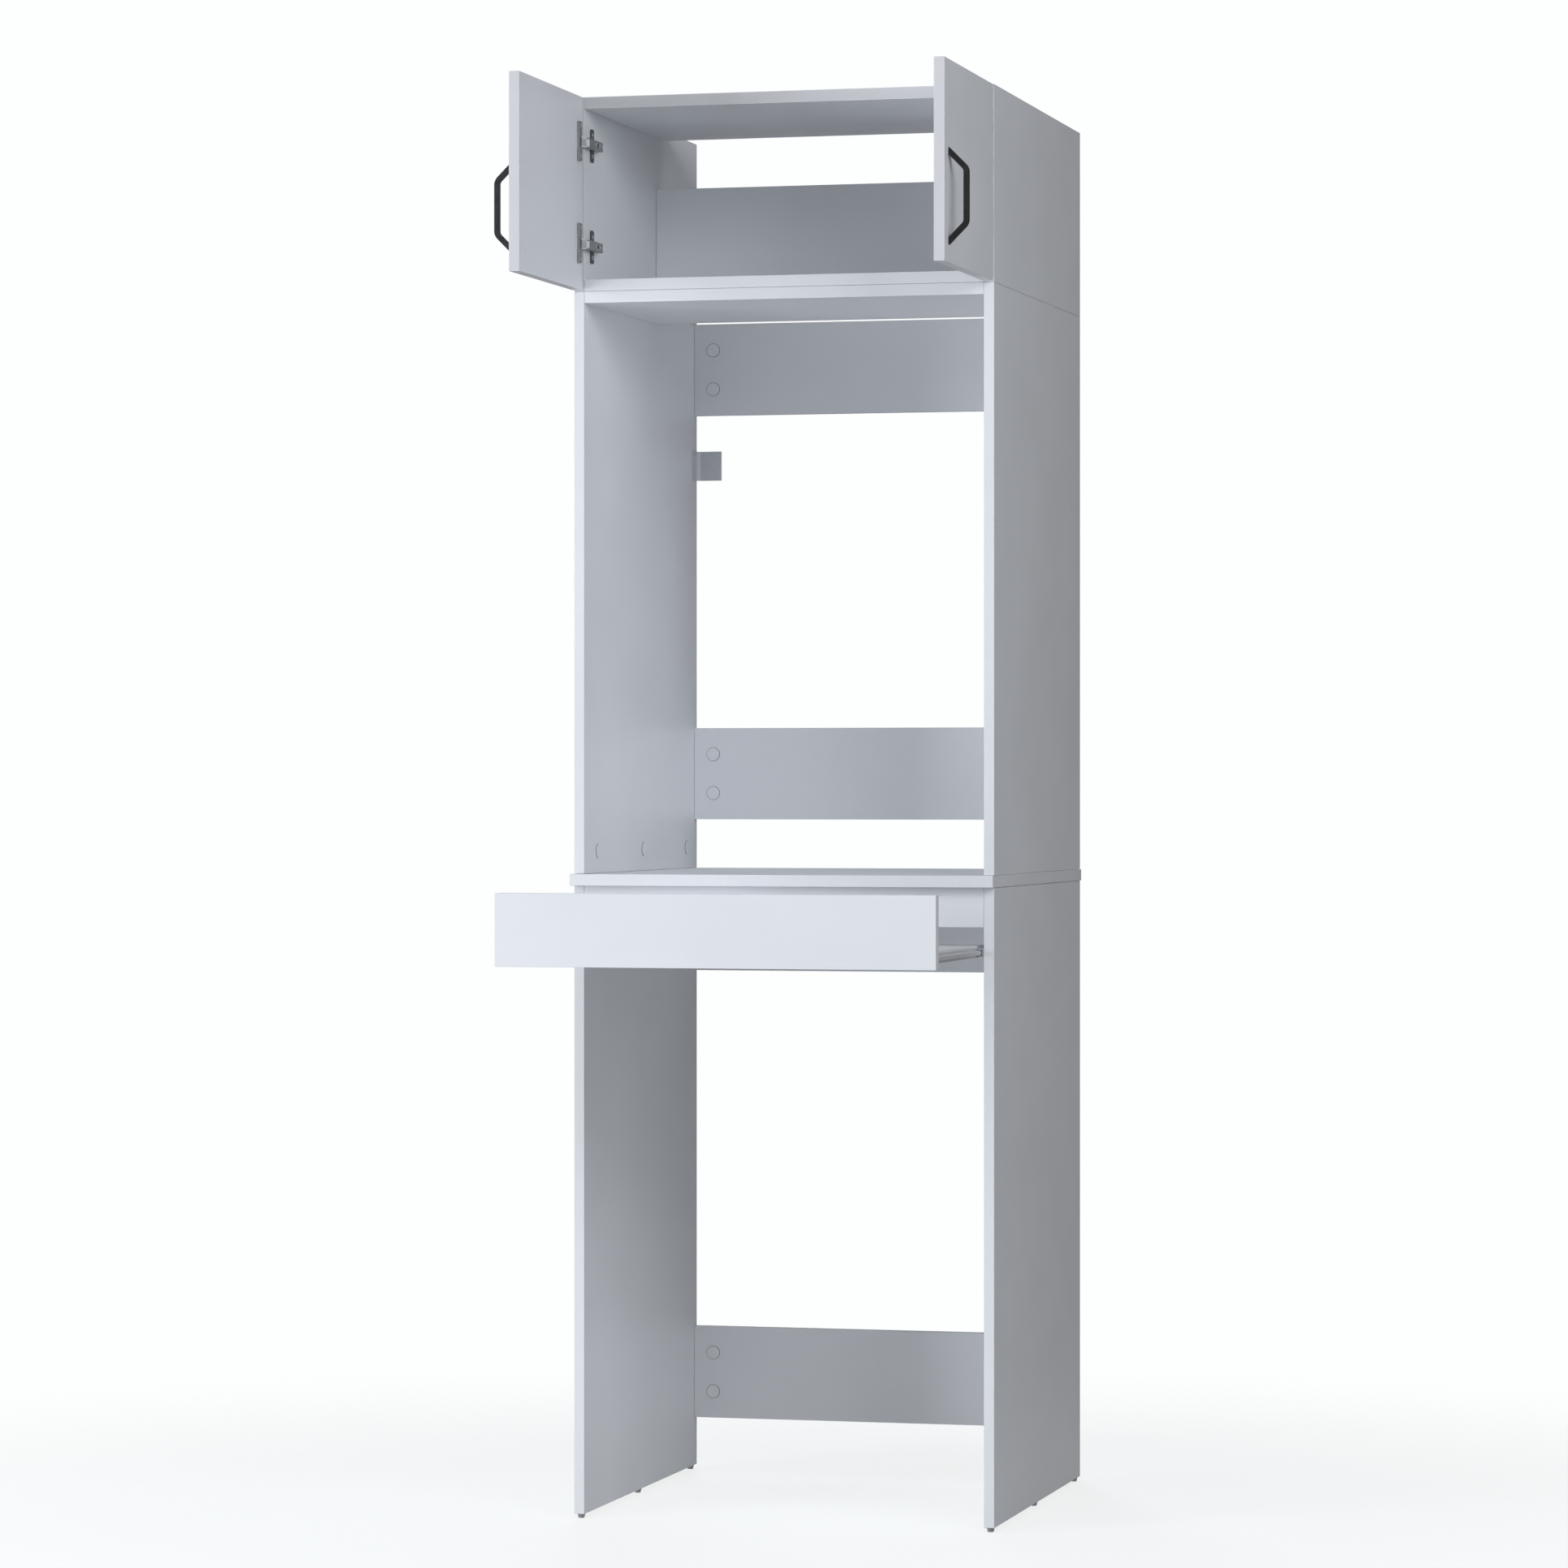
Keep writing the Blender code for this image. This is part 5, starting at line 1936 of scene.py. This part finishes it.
@dataclass(frozen=True)
class Lamp:
    """A soft light that the camera doesn't see.

    Args:
        name: Its name.
        place: Where it hangs.
        aim: What it points at.
        size: Its width and height.
        power: Its power in watts.
        mirrored: Whether surfaces mirror it.
        colour: Its colour.
    """

    name: str
    place: Place
    aim: Place
    size: Pair
    power: float
    mirrored: bool = True
    colour: Colour = (0.91, 0.945, 1.0)

    def hang(self) -> None:
        """Put the lamp in the scene."""
        data = bpy.data.lights.new(self.name, "AREA")
        data.shape = "RECTANGLE"
        data.size, data.size_y = self.size
        data.energy = self.power
        data.color = self.colour
        thing = bpy.data.objects.new(self.name, data)
        thing.location = self.place
        thing.rotation_euler = (Vector(self.aim) - Vector(self.place)).to_track_quat("-Z", "Y").to_euler()
        thing.visible_camera = False
        thing.visible_glossy = self.mirrored
        bpy.context.scene.collection.objects.link(thing)


LAMPS = (
    Lamp("key", (-2.8, -2.8, 1.3), (0, 0, 1.2), (1.6, 2.6), 88),
    Lamp("fill", (3.2, -1.6, 1.6), (0, 0, 1.2), (1.6, 2.6), 17),
    Lamp("high", (2.4, -2.8, 2.9), (0, 0, 1.9), (1.6, 1.4), 48, mirrored=False),
    Lamp("top", (0.0, -3.2, 3.8), (0, 0.2, 1.0), (2.4, 1.6), 17),
    Lamp("front", (0.2, -5.2, 1.4), (0, 0, 1.1), (2.6, 3.0), 6),
    Lamp("low", (0.0, -1.7, 0.06), (0, 0, 1.6), (1.6, 0.5), 3.5),
    Lamp("rear", (-1.6, 4.5, 1.8), (0, 0, 1.2), (1.2, 2.4), 100, mirrored=False),
    Lamp("over", (0.0, 0.5, 4.6), (0, 0.4, 0), (1.2, 1.2), 14, mirrored=False),
)


@dataclass
class Studio:
    """The pale floor, the soft light and the camera.

    Args:
        eye: Where the camera stands.
        pan: How far it is turned from looking straight back.
        lens: Its focal length in millimetres.
        sensor: The width of its frame in millimetres.
        floor_radius: The floor's radius.
        floor_steps: How many edges the floor has.
        floor_tone: Its lightest tone.
        floor_drift: Its darkest tone as a share of that.
        floor_mottle: The size of its mottling.
        floor_roughness: Its lowest and highest roughness.
        floor_share: How much of it shows over the backdrop.
        floor_glow: How strongly it glows.
        fade: The distances from the middle where it starts and ends to fade out.
        ambient: The strength of the light from all round.
        ambient_tone: Its colour.
        backdrop: The backdrop's colour.
    """

    eye: Place = (2.1113, -8.2599, 1.1283)
    pan: float = radians(14.530)
    lens: float = 126.84
    sensor: float = 36.0
    floor_radius: float = 9.0
    floor_steps: int = 96
    floor_tone: Colour = (0.93, 0.94, 0.94)
    floor_drift: float = 0.985
    floor_mottle: float = 0.35
    floor_roughness: Pair = (0.85, 0.95)
    floor_share: float = 0.3
    floor_glow: float = 0.2
    fade: Pair = (0.8, 2.4)
    ambient: float = 0.118
    ambient_tone: Colour = (1.0, 0.99, 0.985)
    backdrop: Colour = (0.985, 1.0, 1.0)

    def camera(self) -> None:
        """Set up the camera at the photograph's angle."""
        data = bpy.data.cameras.new("camera")
        data.lens = self.lens
        data.sensor_width = self.sensor
        thing = bpy.data.objects.new("camera", data)
        thing.location = self.eye
        thing.rotation_euler = (radians(90), 0, self.pan)
        bpy.context.scene.collection.objects.link(thing)
        bpy.context.scene.camera = thing

    def paint(self) -> bpy.types.Material:
        """Give the floor's material: pale, mottled, and fading out with the distance.

        Returns:
            The material.
        """
        graph = Graph("pale_floor")
        mottle = graph.noise(self.floor_mottle, CLOUD_DETAIL)
        dark = tuple(self.floor_drift * tone for tone in self.floor_tone)
        away = graph.node("ShaderNodeVectorMath", {0: graph.place}, operation="LENGTH").outputs["Value"]
        shown = graph.between(away, self.floor_share, 0.0, self.fade, interpolation_type="SMOOTHSTEP")
        graph.shade("Base Color", graph.tones(mottle, *DRIFT, (dark, self.floor_tone)))
        graph.shade("Roughness", graph.between(mottle, *self.floor_roughness))
        graph.shade("Alpha", shown)
        graph.shade("Emission Color", (*self.backdrop, 1))
        graph.shade("Emission Strength", self.floor_glow)
        return graph.material

    def floor(self) -> None:
        """Lay a pale floor that fades out into the backdrop."""
        body = bmesh.new()
        bmesh.ops.create_circle(body, cap_ends=True, segments=self.floor_steps, radius=self.floor_radius)
        mesh = bpy.data.meshes.new("floor")
        body.to_mesh(mesh)
        body.free()
        mesh.materials.append(self.paint())
        thing = bpy.data.objects.new("floor", mesh)
        bpy.context.scene.collection.objects.link(thing)

    def world(self) -> None:
        """Light everything evenly from all round, before a white backdrop."""
        world = bpy.data.worlds.new("studio")
        bpy.context.scene.world = world
        world.use_nodes = True
        tree = world.node_tree
        tree.nodes.clear()
        path = tree.nodes.new("ShaderNodeLightPath")
        seen = tree.nodes.new("ShaderNodeBackground")
        seen.inputs["Color"].default_value = (*self.backdrop, 1)
        soft = tree.nodes.new("ShaderNodeBackground")
        soft.inputs["Color"].default_value = (*self.ambient_tone, 1)
        soft.inputs["Strength"].default_value = self.ambient
        mix = tree.nodes.new("ShaderNodeMixShader")
        output = tree.nodes.new("ShaderNodeOutputWorld")
        tree.links.new(path.outputs["Is Camera Ray"], mix.inputs["Fac"])
        tree.links.new(soft.outputs["Background"], mix.inputs[1])
        tree.links.new(seen.outputs["Background"], mix.inputs[2])
        tree.links.new(mix.outputs["Shader"], output.inputs["Surface"])

    def dress(self) -> None:
        """Set up the floor, the light and the camera."""
        self.camera()
        self.floor()
        self.world()
        for lamp in LAMPS:
            lamp.hang()
        bpy.context.scene.view_settings.view_transform = "Standard"


def main() -> None:
    """Load the frame, and dress the cabinet on it."""
    logging.basicConfig(level=logging.INFO, format="%(message)s")
    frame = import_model()
    rest = RestPose(frame["joints"])
    bench = Bench()
    brackets = [WallBracket(hand) for hand in Hand]
    for part in (Carcass(), Glides(), *brackets, Tray(rest), Cupboard(rest)):
        log.info("%s", type(part).__name__)
        part.dress(bench)
    Studio().dress()


if __name__ == "__main__":
    main()
